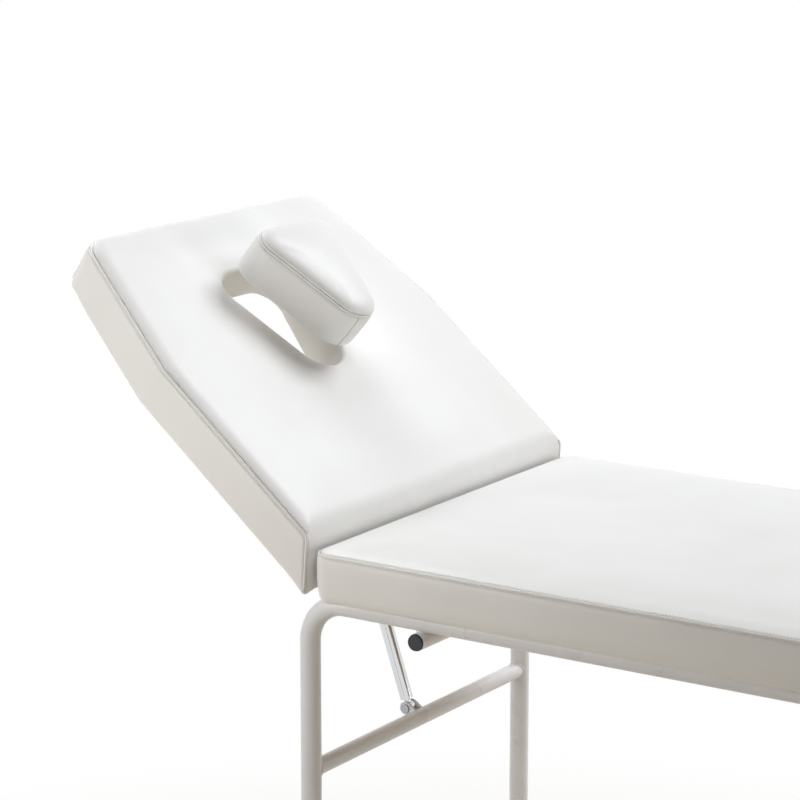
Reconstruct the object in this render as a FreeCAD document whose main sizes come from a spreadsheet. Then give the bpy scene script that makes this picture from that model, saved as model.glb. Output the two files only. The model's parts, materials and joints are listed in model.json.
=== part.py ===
"""Treatment bed with a hinged backrest, a face opening and its plug, on a bent tube frame.

Frame: +X towards the foot end, +Y across the bed, +Z up. The origin is on the floor, in the
middle of the bed's footprint with the backrest raised. Lengths are in millimetres.
"""
import FreeCAD, Part
import Sketcher
import math
import os

from FreeCAD import Placement, Rotation, Vector

doc = FreeCAD.newDocument("treatment_bed")
sheet = doc.addObject("Spreadsheet::Sheet", "sizes")

SIZES = [
    ("bed_width", 700, "across both pads"),
    ("seat_length", 1250, "fixed pad, head face to foot face"),
    ("seat_height", 720, "floor to the top seam of the fixed pad"),
    ("pad_thickness", 70, "underside of a pad to its top seam"),
    ("pad_crown", 8, "rise of the middle of a pad above its seam"),
    ("pad_crown_run", 200, "distance from the edge over which the crown rises"),
    ("pad_tuck", 11, "how far the seat's lower edge is drawn in"),
    ("back_tuck", 3, "how far the backrest's lower edge is drawn in"),
    ("pad_tuck_height", 34, "height over which the side is drawn in"),
    ("pad_roll", 6, "drop of the rolled top edge"),
    ("pad_roll_run", 13, "width of the rolled top edge"),
    ("pad_corner", 20, "corner radius of a pad in plan"),
    ("board_thickness", 12, "plywood board under a pad"),
    ("board_inset", 18, "board edge in from the widest line of the pad"),
    ("cover_thickness", 2, "cover sheet with its backing"),
    ("fit_gap", 0.2, "gap between layers that are pulled together"),
    ("back_length", 573, "backrest along its top, lower edge to head edge"),
    ("back_kink", 326, "parallel stretch of the backrest before it tapers"),
    ("back_taper", 60, "taper of each side at the head edge"),
    ("back_head_corner", 42, "head corner radius of the backrest in plan"),
    ("back_kink_radius", 30, "rounding where the taper starts"),
    ("back_low_corner", 9, "lower corner radius of the backrest in plan"),
    ("back_angle", 40, "backrest above level at rest, degrees"),
    ("back_bevel", 36, "slant of the backrest's lower end, degrees"),
    ("pad_gap", 4, "backrest's lower edge ahead of the seat, at rest"),
    ("hinge_reach", 9, "hinge axis ahead of the seat's head face"),
    ("rail_dia", 30, "side frame tube"),
    ("tube_wall", 2, "wall of every frame tube"),
    ("rail_inset", 60, "side frame tube centre in from the pad's side"),
    ("bend_radius", 60, "centre line radius of the side frame's bends"),
    ("head_leg_reach", 41.5, "head leg ahead of the seat's head face"),
    ("foot_leg_inset", 90, "foot leg in from the seat's foot face"),
    ("cross_dia", 25, "cross tubes and stretchers"),
    ("cross_inset", 150, "cross tubes in from the seat's end faces"),
    ("cross_overhang", 17, "cross tube past the centre of the rail"),
    ("cross_plug_depth", 14, "end plug inside a cross tube"),
    ("cross_plug_flange", 3, "end plug outside a cross tube"),
    ("stretcher_drop", 256, "centre of the rail to the centre of a stretcher"),
    ("ferrule_dia", 40, "rubber ferrule at the floor"),
    ("ferrule_top_dia", 36, "rubber ferrule at its rim"),
    ("ferrule_height", 46, "rubber ferrule overall"),
    ("ferrule_base", 8, "rubber under the tube end"),
    ("tab_thickness", 5, "seat tab on the rail"),
    ("tab_length", 40, "seat tab along the rail"),
    ("tab_width", 62, "seat tab across the rail"),
    ("tab_lip", 12, "seat tab past the rail's centre, outwards"),
    ("tab_hole_inset", 15, "screw hole in from the tab's inner edge"),
    ("tab_end_distance", 85, "first and last tab in from the seat's ends"),
    ("screw_dia", 6, "wood screw shank"),
    ("screw_head_dia", 12, "wood screw head"),
    ("screw_head_height", 3.5, "wood screw head"),
    ("screw_grip", 9, "screw in the board"),
    ("hinge_pin_dia", 12, "hinge stub on the side frame"),
    ("bush_wall", 2.5, "hinge bush barrel"),
    ("bush_flange", 3, "hinge bush flange thickness"),
    ("washer_thickness", 2, "hinge washer"),
    ("clip_thickness", 1.5, "retaining ring"),
    ("groove_depth", 0.8, "groove of a retaining ring in its pin"),
    ("pin_end", 3, "pin past its retaining ring"),
    ("running_gap", 0.05, "radial gap of a pin in its bore"),
    ("side_gap", 0.4, "gap beside a part that turns"),
    ("arm_inset", 100, "backrest arm in from the pad's side"),
    ("arm_thickness", 4, "backrest arm sheet"),
    ("arm_flange", 30, "flange of the arm under the board"),
    ("arm_length", 320, "arm from the hinge axis towards the head"),
    ("arm_start", 45, "flange starts this far from the hinge axis"),
    ("arm_tip_height", 11, "web height at the arm's tip"),
    ("arm_eye_radius", 15, "eye of the arm round the hinge"),
    ("arm_screw_pitch", 105, "screws along an arm"),
    ("stay_reach", 250, "hinge axis to both pivots of the stay"),
    ("stay_foot_reach", 54, "lower pivot ahead of the hinge axis"),
    ("stay_tube_dia", 20, "outer tube of the stay"),
    ("stay_tube_length", 205, "outer tube of the stay"),
    ("stay_tube_start", 17, "lower pivot to the end of the outer tube"),
    ("stay_rod_dia", 12, "notched rod of the stay"),
    ("stay_rod_length", 250, "notched rod of the stay"),
    ("notch_depth", 1.2, "notches of the rod"),
    ("notch_width", 4, "notches of the rod"),
    ("notch_pitch", 13, "notches of the rod"),
    ("pivot_dia", 8, "pins of the stay"),
    ("eye_width", 12, "eyes of the stay between their ears"),
    ("eye_radius", 9, "eyes of the stay"),
    ("ear_thickness", 4, "clevis ears"),
    ("ear_radius", 10, "clevis ears"),
    ("eye_neck", 7, "socket of the upper eye below the ears that hold it"),
    ("slot_travel", 3.4, "free play of the upper eye, each way"),
    ("stay_slack", 2.85, "upper pin from the middle of its slot, at rest"),
    ("bracket_length", 72, "upper bracket under the board"),
    ("bracket_width", 52, "upper bracket under the board"),
    ("hole_head_margin", 116, "face opening from the backrest's head edge"),
    ("hole_length", 204, "face opening along the backrest"),
    ("hole_width", 184, "face opening across the backrest"),
    ("hole_head_radius", 38, "head corners of the face opening"),
    ("hole_foot_radius", 50, "foot corner of the face opening"),
    ("rim_roll", 9, "rolled rim of the face opening"),
    ("lining_thickness", 2, "lining of the face opening"),
    ("plug_gap", 3, "plug in from the wall of the face opening"),
    ("plug_lift", 103, "plug above its seat, at rest"),
    ("plug_crown", 9, "rise of the middle of the plug"),
    ("plug_tuck", 4, "how far the plug's lower edge is drawn in"),
    ("plug_board_thickness", 8, "board under the plug"),
]
for line, (alias, number, note) in enumerate(SIZES, 1):
    sheet.set(f"A{line}", alias)
    sheet.set(f"B{line}", str(number))
    sheet.setAlias(f"B{line}", alias)
    sheet.set(f"C{line}", note)
doc.recompute()


class Size:
    """A length: its number now, and the text of the expression that follows the sheet."""

    def __init__(self, value, text):
        self.value = value
        self.text = text

    def join(self, other, sign, value):
        return Size(value, f"({self.text} {sign} {of(other).text})")

    def __add__(self, other):
        return self.join(other, "+", self.value + of(other).value)

    def __sub__(self, other):
        return self.join(other, "-", self.value - of(other).value)

    def __mul__(self, other):
        return self.join(other, "*", self.value * of(other).value)

    def __truediv__(self, other):
        return self.join(other, "/", self.value / of(other).value)

    def __neg__(self):
        return Size(-self.value, f"(-{self.text})")


def of(number):
    return number if isinstance(number, Size) else Size(float(number), f"({float(number)})")


def cell(alias):
    return Size(float(sheet.get(alias)), f"sizes.{alias}")


def val(alias):
    return cell(alias).value


NODES = {}


def keep(obj, label, frame):
    """Name a finished sub-part after its node and put it in its frame."""
    obj.Label = label
    obj.Placement = frame
    NODES[label] = obj
    return obj


# Places that several sub-parts share
half_width = cell("bed_width") / 2
rail_y = half_width - cell("rail_inset")
rail_radius = cell("rail_dia") / 2
pad_under = cell("seat_height") - cell("pad_thickness")
rail_z = pad_under - cell("tab_thickness") - rail_radius
stretcher_z = rail_z - cell("stretcher_drop")
head_leg_x = -cell("head_leg_reach")
foot_leg_x = cell("seat_length") - cell("foot_leg_inset")
arm_y = half_width - cell("arm_inset")
board_z = rail_radius + cell("tab_thickness")
top_z = board_z + cell("pad_thickness")
pin_radius = cell("hinge_pin_dia") / 2
pivot_radius = cell("pivot_dia") / 2

angle = math.radians(val("back_angle"))
back_start = (val("hinge_reach") - val("pad_gap") - top_z.value * math.sin(angle)) / math.cos(angle)
back_head = back_start - val("back_length")
head_reach = -((back_head + val("back_tuck")) * math.cos(angle) + board_z.value * math.sin(angle))
seat_head_x = (head_reach + val("hinge_reach") - val("seat_length")) / 2

reach = val("stay_reach")
foot_angle = math.acos(val("stay_foot_reach") / reach)
pivot_below = reach * math.sin(foot_angle)
stay_length = 2 * reach * math.sin((foot_angle + angle) / 2)
upper_x, upper_z = -reach * math.cos(angle), reach * math.sin(angle)
stay_lean = math.degrees(math.atan2(upper_x + val("stay_foot_reach"), upper_z + pivot_below))

ALONG_Y = Rotation(Vector(1, 0, 0), -90)
BASE = Placement(Vector(seat_head_x, 0, 0), Rotation())
HINGE = Vector(seat_head_x - val("hinge_reach"), 0, rail_z.value)
BACK = Placement(HINGE, Rotation(Vector(0, 1, 0), val("back_angle")))
PLUG = BACK.multiply(Placement(Vector(0, 0, val("plug_lift")), Rotation()))
FOOT_PIVOT = Vector(HINGE.x - val("stay_foot_reach"), 0, HINGE.z - pivot_below)
STAY = Placement(FOOT_PIVOT, Rotation(Vector(0, 1, 0), stay_lean))


def bind(obj, **sizes):
    for name, wanted in sizes.items():
        obj.setExpression(name, of(wanted).text)
    return obj


def place(obj, x=0, y=0, z=0, turn=None):
    obj.Placement = Placement(Vector(), turn or Rotation())
    for axis, wanted in zip("xyz", (x, y, z)):
        obj.setExpression(f"Placement.Base.{axis}", of(wanted).text)
    return obj


def cylinder(name, radius, height, x=0, y=0, z=0, turn=None):
    obj = bind(doc.addObject("Part::Cylinder", name), Radius=radius, Height=height)
    return place(obj, x, y, z, turn)


def cut(base, *tools):
    obj = doc.addObject("Part::Cut", base.Name + "_cut")
    obj.Base = base
    obj.Tool = tools[0] if len(tools) == 1 else fuse(*tools)
    return obj


def fuse(*pieces):
    obj = doc.addObject("Part::MultiFuse", pieces[0].Name + "_fused")
    obj.Shapes = list(pieces)
    return obj


def tube(name, radius, length, x, y, z, turn, wall):
    """A straight tube, wall thickness wall, along the turned Z axis from the given point."""
    outer = cylinder(name, radius, length, x, y, z, turn)
    bore = cylinder(name + "_bore", of(radius) - wall, length, x, y, z, turn)
    return cut(outer, bore)


def body(name):
    return doc.addObject("PartDesign::Body", name)


def sketch_on(owner, plane, offset=0):
    """A sketch on one of the body's own origin planes, lifted by offset along its normal."""
    flat = owner.newObject("Sketcher::SketchObject", owner.Name + "_sketch")
    support = [f for f in owner.Origin.OriginFeatures if f.Role == plane][0]
    flat.AttachmentSupport = [(support, "")]
    flat.MapMode = "FlatFace"
    flat.setExpression("AttachmentOffset.Base.z", of(offset).text)
    return flat


def fix(flat, item, point, x, y):
    """Hold one point of a sketch at its place from the sketch's origin."""
    for kind, wanted in (("DistanceX", x), ("DistanceY", y)):
        number = flat.addConstraint(Sketcher.Constraint(kind, -1, 1, item, point, of(wanted).value))
        flat.setExpression(f"Constraints[{number}]", of(wanted).text)


def polygon(flat, points):
    """Straight closed outline, every corner held by the sheet."""
    spots = [Vector(of(x).value, of(y).value, 0) for x, y in points]
    first = flat.GeometryCount
    for start, end in zip(spots, spots[1:] + spots[:1]):
        flat.addGeometry(Part.LineSegment(start, end), False)
    for i, (x, y) in enumerate(points):
        previous = first + (i - 1) % len(points)
        flat.addConstraint(Sketcher.Constraint("Coincident", previous, 2, first + i, 1))
        fix(flat, first + i, 1, x, y)
    return flat


def disc(flat, x, y, radius):
    spot = Vector(of(x).value, of(y).value, 0)
    item = flat.addGeometry(Part.Circle(spot, Vector(0, 0, 1), of(radius).value), False)
    fix(flat, item, 3, x, y)
    number = flat.addConstraint(Sketcher.Constraint("Radius", item, of(radius).value))
    flat.setExpression(f"Constraints[{number}]", of(radius).text)
    return flat


def pad(owner, flat, length, middle=True):
    obj = owner.newObject("PartDesign::Pad", owner.Name + "_pad")
    obj.Profile = flat
    obj.Midplane = middle
    return bind(obj, Length=length)


def pocket(owner, flat):
    """A cut right through, both ways from the sketch."""
    obj = owner.newObject("PartDesign::Pocket", owner.Name + "_pocket")
    obj.Profile = flat
    obj.Type = "ThroughAll"
    obj.Midplane = True
    return obj


def revolution(owner, flat):
    obj = owner.newObject("PartDesign::Revolution", owner.Name + "_turned")
    obj.Profile = flat
    obj.ReferenceAxis = (flat, ["V_Axis"])
    obj.Angle = 360
    return obj


def turned(name, points):
    """A turned piece: its half section in X and Z, turned about Z."""
    owner = body(name)
    revolution(owner, polygon(sketch_on(owner, "XZ_Plane"), points))
    return owner


def solid(label, shape, frame):
    """A sub-part whose shape is worked out here from the sheet's sizes."""
    obj = doc.addObject("Part::Feature", label)
    obj.Shape = shape
    return keep(obj, label, frame)


def copies(label, owner, spots, frame):
    """Equal pieces in one node, each a separate solid."""
    doc.recompute()
    shapes = []
    for spot in spots:
        one = owner.Shape.copy()
        one.Placement = spot.multiply(owner.Shape.Placement)
        shapes.append(one)
    return solid(label, Part.makeCompound(shapes), frame)


# Outlines of lines and arcs for the soft parts
def inset_corners(points, inset):
    """Corners of a convex outline, counter-clockwise, moved in by inset."""
    moved = []
    count = len(points)
    for i in range(count):
        before, here, after = points[i - 1], points[i], points[(i + 1) % count]
        into, out = (here - before).normalize(), (after - here).normalize()
        left_in, left_out = Vector(-into.y, into.x, 0), Vector(-out.y, out.x, 0)
        bisector = left_in + left_out
        moved.append(here + bisector * (inset / (1 + left_in.dot(left_out))))
    return moved


def rounded_wire(points, radii, z):
    """A closed outline with an arc at every corner."""
    edges, ends = [], []
    count = len(points)
    for i in range(count):
        before, here, after = points[i - 1], points[i], points[(i + 1) % count]
        back, on = (before - here).normalize(), (after - here).normalize()
        half = math.acos(max(-1, min(1, back.dot(on)))) / 2
        run = radii[i] / math.tan(half)
        start, end = here + back * run, here + on * run
        centre = here + (back + on).normalize() * (radii[i] / math.sin(half))
        middle = centre + (here - centre).normalize() * radii[i]
        ends.append((start, middle, end))
    up = Vector(0, 0, z)
    for i in range(count):
        start, middle, end = ends[i]
        edges.append(Part.Arc(start + up, middle + up, end + up).toShape())
        edges.append(Part.makeLine(end + up, ends[(i + 1) % count][0] + up))
    return Part.Wire(edges)


def hull_wire(circles, grow, z):
    """The outline round three circles, each grown by the same amount, counter-clockwise."""
    tangents = []
    count = len(circles)
    for i in range(count):
        (c0, r0), (c1, r1) = circles[i], circles[(i + 1) % count]
        along = c1 - c0
        bearing = math.atan2(along.y, along.x) - math.pi / 2
        bearing += math.asin((r1 - r0) / along.Length)
        tangents.append(Vector(math.cos(bearing), math.sin(bearing), 0))
    up = Vector(0, 0, z)
    edges = []
    for i, (centre, radius) in enumerate(circles):
        size = radius + grow
        before, after = tangents[i - 1], tangents[i]
        middle = (before + after).normalize()
        start, end = centre + before * size + up, centre + after * size + up
        edges.append(Part.Arc(start, centre + middle * size + up, end).toShape())
        following, next_radius = circles[(i + 1) % count]
        edges.append(Part.makeLine(end, following + after * (next_radius + grow) + up))
    return Part.Wire(edges)


def loft(wires):
    shape = Part.makeLoft(wires, True, True)
    return shape if shape.Volume > 0 else shape.reversed()


ROLL_STEPS = 3
CROWN_STEPS = 5


def cushion_levels(thickness, crown, crown_run, tuck, skin):
    """Heights above the underside and insets of a crowned cushion, skin deep inside its cover."""
    tuck_height, roll, roll_run = val("pad_tuck_height"), val("pad_roll"), val("pad_roll_run")
    levels = []
    for i in range(ROLL_STEPS + 1):
        a = math.pi / 2 * i / ROLL_STEPS
        levels.append((tuck_height * (1 - math.cos(a)), tuck * (1 - math.sin(a)) + skin))
    for i in range(ROLL_STEPS + 1):
        a = math.pi / 2 * i / ROLL_STEPS
        height = thickness - roll + roll * math.sin(a) - skin
        levels.append((height, roll_run * (1 - math.cos(a)) + skin))
    for i in range(1, CROWN_STEPS + 1):
        u = i / CROWN_STEPS
        height = thickness + crown * (1 - (1 - u) ** 2) - skin
        levels.append((height, roll_run + (crown_run - roll_run) * u + skin))
    return levels


LEAST_RADIUS = 3.0


def pad_cushion(corners_at, radii, tuck, skin):
    """A pad's solid: corners_at gives the plan's corners at a height above the underside."""
    wires = []
    thickness = val("pad_thickness")
    for height, inset in cushion_levels(
        thickness, val("pad_crown"), val("pad_crown_run"), tuck, skin
    ):
        points = inset_corners(corners_at(min(height, thickness)), inset)
        sizes = [max(radius - inset, LEAST_RADIUS) for radius in radii]
        wires.append(rounded_wire(points, sizes, height))
    return loft(wires)


def lifted(shape, z):
    moved = shape.copy()
    moved.translate(Vector(0, 0, z))
    return moved


# Side frames: one bent tube each, leg, rail and leg
def side_frame(label, side):
    owner = body(label)
    flat = sketch_on(owner, "XZ_Plane")
    low = cell("ferrule_base")
    knee = rail_z - cell("bend_radius")
    head_turn, foot_turn = head_leg_x + cell("bend_radius"), foot_leg_x - cell("bend_radius")
    bend = val("bend_radius")
    spots = [(head_leg_x, low), (head_leg_x, knee), (head_turn, rail_z),
             (foot_turn, rail_z), (foot_leg_x, knee), (foot_leg_x, low)]
    at = [Vector(x.value, z.value, 0) for x, z in spots]
    diagonal = bend * math.sqrt(0.5)
    head_middle = Vector(head_turn.value - diagonal, knee.value + diagonal, 0)
    foot_middle = Vector(foot_turn.value + diagonal, knee.value + diagonal, 0)
    lines = [flat.addGeometry(Part.LineSegment(at[0], at[1]), False)]
    arcs = [flat.addGeometry(Part.Arc(at[2], head_middle, at[1]), False)]
    lines.append(flat.addGeometry(Part.LineSegment(at[2], at[3]), False))
    arcs.append(flat.addGeometry(Part.Arc(at[4], foot_middle, at[3]), False))
    lines.append(flat.addGeometry(Part.LineSegment(at[4], at[5]), False))
    for item, start, end in zip(lines, spots[0::2], spots[1::2]):
        fix(flat, item, 1, *start)
        fix(flat, item, 2, *end)
    for arc, before, after in zip(arcs, lines, lines[1:]):
        for item, item_end in ((before, 2), (after, 1)):
            spot = flat.getPoint(item, item_end)
            gaps = [(spot - flat.getPoint(arc, arc_end)).Length for arc_end in (1, 2)]
            arc_end = 1 if gaps[0] < gaps[1] else 2
            flat.addConstraint(Sketcher.Constraint("Coincident", item, item_end, arc, arc_end))
        number = flat.addConstraint(Sketcher.Constraint("Radius", arc, bend))
        flat.setExpression(f"Constraints[{number}]", cell("bend_radius").text)
    ring = sketch_on(owner, "XY_Plane", low)
    disc(ring, head_leg_x, 0, rail_radius)
    disc(ring, head_leg_x, 0, rail_radius - cell("tube_wall"))
    pipe = owner.newObject("PartDesign::AdditivePipe", label + "_pipe")
    pipe.Profile = ring
    pipe.Spine = (flat, [f"Edge{i + 1}" for i in range(flat.GeometryCount)])
    frame = BASE.multiply(Placement(Vector(0, side * rail_y.value, 0), Rotation()))
    return keep(owner, label, frame)


SIDES = (("near", -1), ("far", 1))
ENDS = (("head", head_leg_x), ("foot", foot_leg_x))
for side_name, side in SIDES:
    side_frame(f"side_frame_{side_name}", side)

for end_name, leg_x in ENDS:
    for side_name, side in SIDES:
        base_radius, rim_radius = cell("ferrule_dia") / 2, cell("ferrule_top_dia") / 2
        seat_radius = rail_radius + cell("running_gap")
        ferrule = turned(f"ferrule_{end_name}_{side_name}", [
            (0, 0), (base_radius, 0), (base_radius, cell("ferrule_base")),
            (rim_radius, cell("ferrule_height")), (seat_radius, cell("ferrule_height")),
            (seat_radius, cell("ferrule_base")), (0, cell("ferrule_base")),
        ])
        spot = Vector(leg_x.value, side * rail_y.value, 0)
        keep(ferrule, ferrule.Name, BASE.multiply(Placement(spot, Rotation())))

cross_radius = cell("cross_dia") / 2
for end_name, leg_x in ENDS:
    stretcher = tube(f"stretcher_{end_name}", cross_radius, rail_y * 2, leg_x, -rail_y,
                     stretcher_z, ALONG_Y, cell("tube_wall"))
    legs = [cylinder(f"{end_name}_leg_{n}", rail_radius, rail_z, leg_x, rail_y * side)
            for n, side in SIDES]
    keep(cut(stretcher, *legs), f"stretcher_{end_name}", BASE)

cross_z = rail_z - rail_radius - cross_radius - cell("running_gap")
cross_half = rail_y + cell("cross_overhang")
CROSS_X = {"head": cell("cross_inset"), "foot": cell("seat_length") - cell("cross_inset")}
for end_name, cross_x in CROSS_X.items():
    keep(tube(f"cross_tube_{end_name}", cross_radius, cross_half * 2, cross_x, -cross_half,
              cross_z, ALONG_Y, cell("tube_wall")), f"cross_tube_{end_name}", BASE)
inside = cross_radius - cell("tube_wall") - cell("running_gap")
cross_plug = turned("cross_tube_plug", [
    (0, -cell("cross_plug_depth")), (inside, -cell("cross_plug_depth")), (inside, 0),
    (cross_radius, 0), (cross_radius - 1, cell("cross_plug_flange")),
    (0, cell("cross_plug_flange")),
])
copies("cross_tube_plugs", cross_plug, [
    Placement(Vector(x.value, side * cross_half.value, cross_z.value),
              Rotation(Vector(1, 0, 0), -90 * side))
    for x in CROSS_X.values() for name, side in SIDES
], BASE)

# Seat tabs on the rails, and the screws that hold the seat's board on them
tab_out = rail_y + cell("tab_lip")
tab_in = tab_out - cell("tab_width")
tab_screw_y = tab_in + cell("tab_hole_inset")
tab_z = pad_under - cell("tab_thickness")
TAB_X = [cell("tab_end_distance"), cell("seat_length") / 2,
         cell("seat_length") - cell("tab_end_distance") - cell("foot_leg_inset")]
hole_radius = cell("screw_dia") / 2 + cell("fit_gap")
seat_screw_spots = []
for side_name, side in SIDES:
    for number, tab_x in enumerate(TAB_X, 1):
        tab = body(f"seat_tab_{side_name}_{number}")
        half = cell("tab_length") / 2
        outline = [(tab_x - half, tab_in), (tab_x + half, tab_in),
                   (tab_x + half, tab_out), (tab_x - half, tab_out)]
        outline = [(x, y * side) for x, y in (outline if side > 0 else outline[::-1])]
        pad(tab, polygon(sketch_on(tab, "XY_Plane", tab_z + cell("running_gap")), outline),
            cell("tab_thickness") - cell("running_gap"), False)
        pocket(tab, disc(sketch_on(tab, "XY_Plane", tab_z), tab_x, tab_screw_y * side, hole_radius))
        keep(tab, tab.Name, BASE)
        seat_screw_spots.append(Vector(tab_x.value, side * tab_screw_y.value, pad_under.value))


def wood_screw(name, under):
    """A pan head screw: its head sits a sheet of thickness under below the board."""
    shank, head = cell("screw_dia") / 2, cell("screw_head_dia") / 2
    height, grip = cell("screw_head_height"), cell("screw_grip")
    return turned(name, [
        (0, -under - height), (head * 0.7, -under - height), (head, -under - height * 0.5),
        (head, -under), (shank, -under), (shank, grip - shank), (0, grip),
    ])


def upright(spots):
    return [Placement(spot, Rotation()) for spot in spots]


seat_screw = wood_screw("seat_screw", cell("tab_thickness"))
copies("seat_screws", seat_screw, upright(seat_screw_spots), BASE)


def pilot_holes(spots):
    """Blind screw holes in a board, up from its underside."""
    radius, depth = val("screw_dia") / 2 + val("running_gap"), val("screw_grip") + 1
    return Part.makeCompound([Part.makeCylinder(radius, depth, spot) for spot in spots])


# Seat pad: board, foam and cover
def seat_corners(height):
    half = half_width.value
    length = val("seat_length")
    return [Vector(0, -half, 0), Vector(length, -half, 0), Vector(length, half, 0), Vector(0, half, 0)]


def layers(name, corners_at, radii, tuck, screws, frame, under, hole=None):
    """Board, foam and cover of a pad, each inside the next."""
    skin = val("cover_thickness")
    outer = lifted(pad_cushion(corners_at, radii, tuck, 0), under)
    inner = lifted(pad_cushion(corners_at, radii, tuck, skin), under)
    filling = lifted(pad_cushion(corners_at, radii, tuck, skin + val("fit_gap")), under)
    inset = val("board_inset")
    thickness = val("board_thickness")
    plan = inset_corners(corners_at(thickness), inset)
    outline = rounded_wire(plan, [max(r - inset, LEAST_RADIUS) for r in radii], under)
    block = Part.Face(outline).extrude(Vector(0, 0, thickness))
    board = block.cut(pilot_holes(screws))
    foam = filling.cut(block)
    cover = outer.cut(inner)
    if hole:
        board, foam, cover = (piece.cut(hole) for piece in (board, foam, cover))
    solid(f"{name}_board", board, frame)
    solid(f"{name}_foam", foam, frame)
    solid(f"{name}_cover", cover, frame)
    return outer


layers("seat", seat_corners, [val("pad_corner")] * 4, val("pad_tuck"), seat_screw_spots, BASE,
       pad_under.value)


# Backrest pad, level, with the hinge axis as its origin
def back_corners(height):
    half, taper = half_width.value, val("back_taper")
    low = back_start + (val("pad_thickness") - height) * math.tan(math.radians(val("back_bevel")))
    kink = back_start - val("back_kink")
    near = [Vector(back_head, taper - half, 0), Vector(kink, -half, 0), Vector(low, -half, 0)]
    return near + [Vector(p.x, -p.y, 0) for p in reversed(near)]


back_radii = [val("back_head_corner"), val("back_kink_radius"), val("back_low_corner")]
back_radii += back_radii[::-1]

hole_head = back_head + val("hole_head_margin")
head_radius, foot_radius = val("hole_head_radius"), val("hole_foot_radius")
head_circle_x = hole_head + head_radius
foot_circle_x = hole_head + val("hole_length") - foot_radius
head_circle_y = val("hole_width") / 2 - head_radius
HOLE = [(Vector(head_circle_x, head_circle_y, 0), head_radius),
        (Vector(head_circle_x, -head_circle_y, 0), head_radius),
        (Vector(foot_circle_x, 0, 0), foot_radius)]


def opening(grow):
    """The face opening's space: straight, then a rolled rim up through the crown."""
    roll, top = val("rim_roll"), top_z.value
    rim = top + val("pad_crown")
    wires = [hull_wire(HOLE, grow, board_z.value - roll), hull_wire(HOLE, grow, rim - 2 * roll)]
    for i in range(1, ROLL_STEPS + 1):
        a = math.pi / 2 * i / ROLL_STEPS
        flare = grow + roll * (1 - math.cos(a))
        wires.append(hull_wire(HOLE, flare, rim - 2 * roll * (1 - math.sin(a))))
    wires.append(hull_wire(HOLE, grow + 2 * roll, rim + 1))
    return loft(wires)


lining_wall = val("lining_thickness")
back_hole = opening(lining_wall + val("fit_gap"))
arm_flange_y = arm_y + cell("arm_flange") / 2
arm_screw_x = [-(cell("arm_start") + 40 + cell("arm_screw_pitch") * i) for i in range(3)]
back_screw_spots = [Vector(x.value, side * arm_flange_y.value, board_z.value)
                    for name, side in SIDES for x in arm_screw_x]
bracket_screw = (cell("bracket_length") / 2 - 9, cell("bracket_width") / 2 - 8)
bracket_screw_spots = [Vector(-reach + u * bracket_screw[0].value, v * bracket_screw[1].value, board_z.value)
                       for u in (-1, 1) for v in (-1, 1)]
back_outer = layers("backrest", back_corners, back_radii, val("back_tuck"),
                    back_screw_spots + bracket_screw_spots, BACK, board_z.value, back_hole)
lining = opening(lining_wall).cut(opening(0)).common(back_outer)
solid("face_opening_lining", lining, BACK)


# Plug of the face opening, at its seat; its frame lifts it out
def plug_cushion(skin):
    crown_run = min(head_radius, foot_radius) - val("plug_gap") - 6
    levels = cushion_levels(val("pad_thickness"), val("plug_crown"), crown_run, val("plug_tuck"), skin)
    grow = -val("plug_gap")
    return loft([hull_wire(HOLE, grow - inset, board_z.value + height) for height, inset in levels])


plug_skin = val("cover_thickness")
plug_block_inset = val("plug_gap") + val("plug_tuck") + plug_skin + 4
plug_block = Part.Face(hull_wire(HOLE, -plug_block_inset, board_z.value))
plug_block = plug_block.extrude(Vector(0, 0, val("plug_board_thickness")))
solid("plug_board", plug_block, PLUG)
solid("plug_foam", plug_cushion(plug_skin + val("fit_gap")).cut(plug_block), PLUG)
solid("plug_cover", plug_cushion(0).cut(plug_cushion(plug_skin)), PLUG)


# Hinge: stub pins on the side frames, and the arms that turn on them
bush_radius = pin_radius + cell("running_gap")
barrel_radius = bush_radius + cell("bush_wall")
web_half = cell("arm_thickness") / 2
flange_face = arm_y + web_half + cell("bush_flange")
barrel_face = arm_y - web_half - cell("bush_flange") / 2
washer_face = barrel_face - cell("side_gap")
clip_face = washer_face - cell("washer_thickness")
pin_tip = clip_face - cell("clip_thickness") - cell("pin_end")
sleeve_start = flange_face + cell("side_gap")
for side_name, side in SIDES:
    stub = cylinder(f"hinge_pin_{side_name}", pin_radius, rail_y - pin_tip,
                    -cell("hinge_reach"), pin_tip, rail_z, ALONG_Y)
    bend = doc.addObject("Part::Torus", f"hinge_bend_{side_name}")
    bind(bend, Radius1=cell("bend_radius"), Radius2=rail_radius)
    place(bend, head_leg_x + cell("bend_radius"), rail_y, rail_z - cell("bend_radius"), ALONG_Y)
    groove = tube(f"hinge_groove_{side_name}", pin_radius + 1, cell("clip_thickness"),
                  -cell("hinge_reach"), clip_face - cell("clip_thickness"), rail_z, ALONG_Y,
                  cell("groove_depth") + 1)
    pin_piece = cut(stub, bend, groove)
    if side < 0:
        mirror = doc.addObject("Part::Mirroring", f"hinge_mirror_{side_name}")
        mirror.Source = pin_piece
        mirror.Normal = Vector(0, 1, 0)
        pin_piece = mirror
    keep(pin_piece, f"hinge_pin_{side_name}", BASE)


def ring(name, inner, outer, start, end):
    return turned(name, [(inner, start), (outer, start), (outer, end), (inner, end)])


def on_hinge(side):
    """Turned pieces of the hinge: their Z axis points outwards along the hinge axis."""
    return Rotation(Vector(1, 0, 0), -90 * side)


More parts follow.
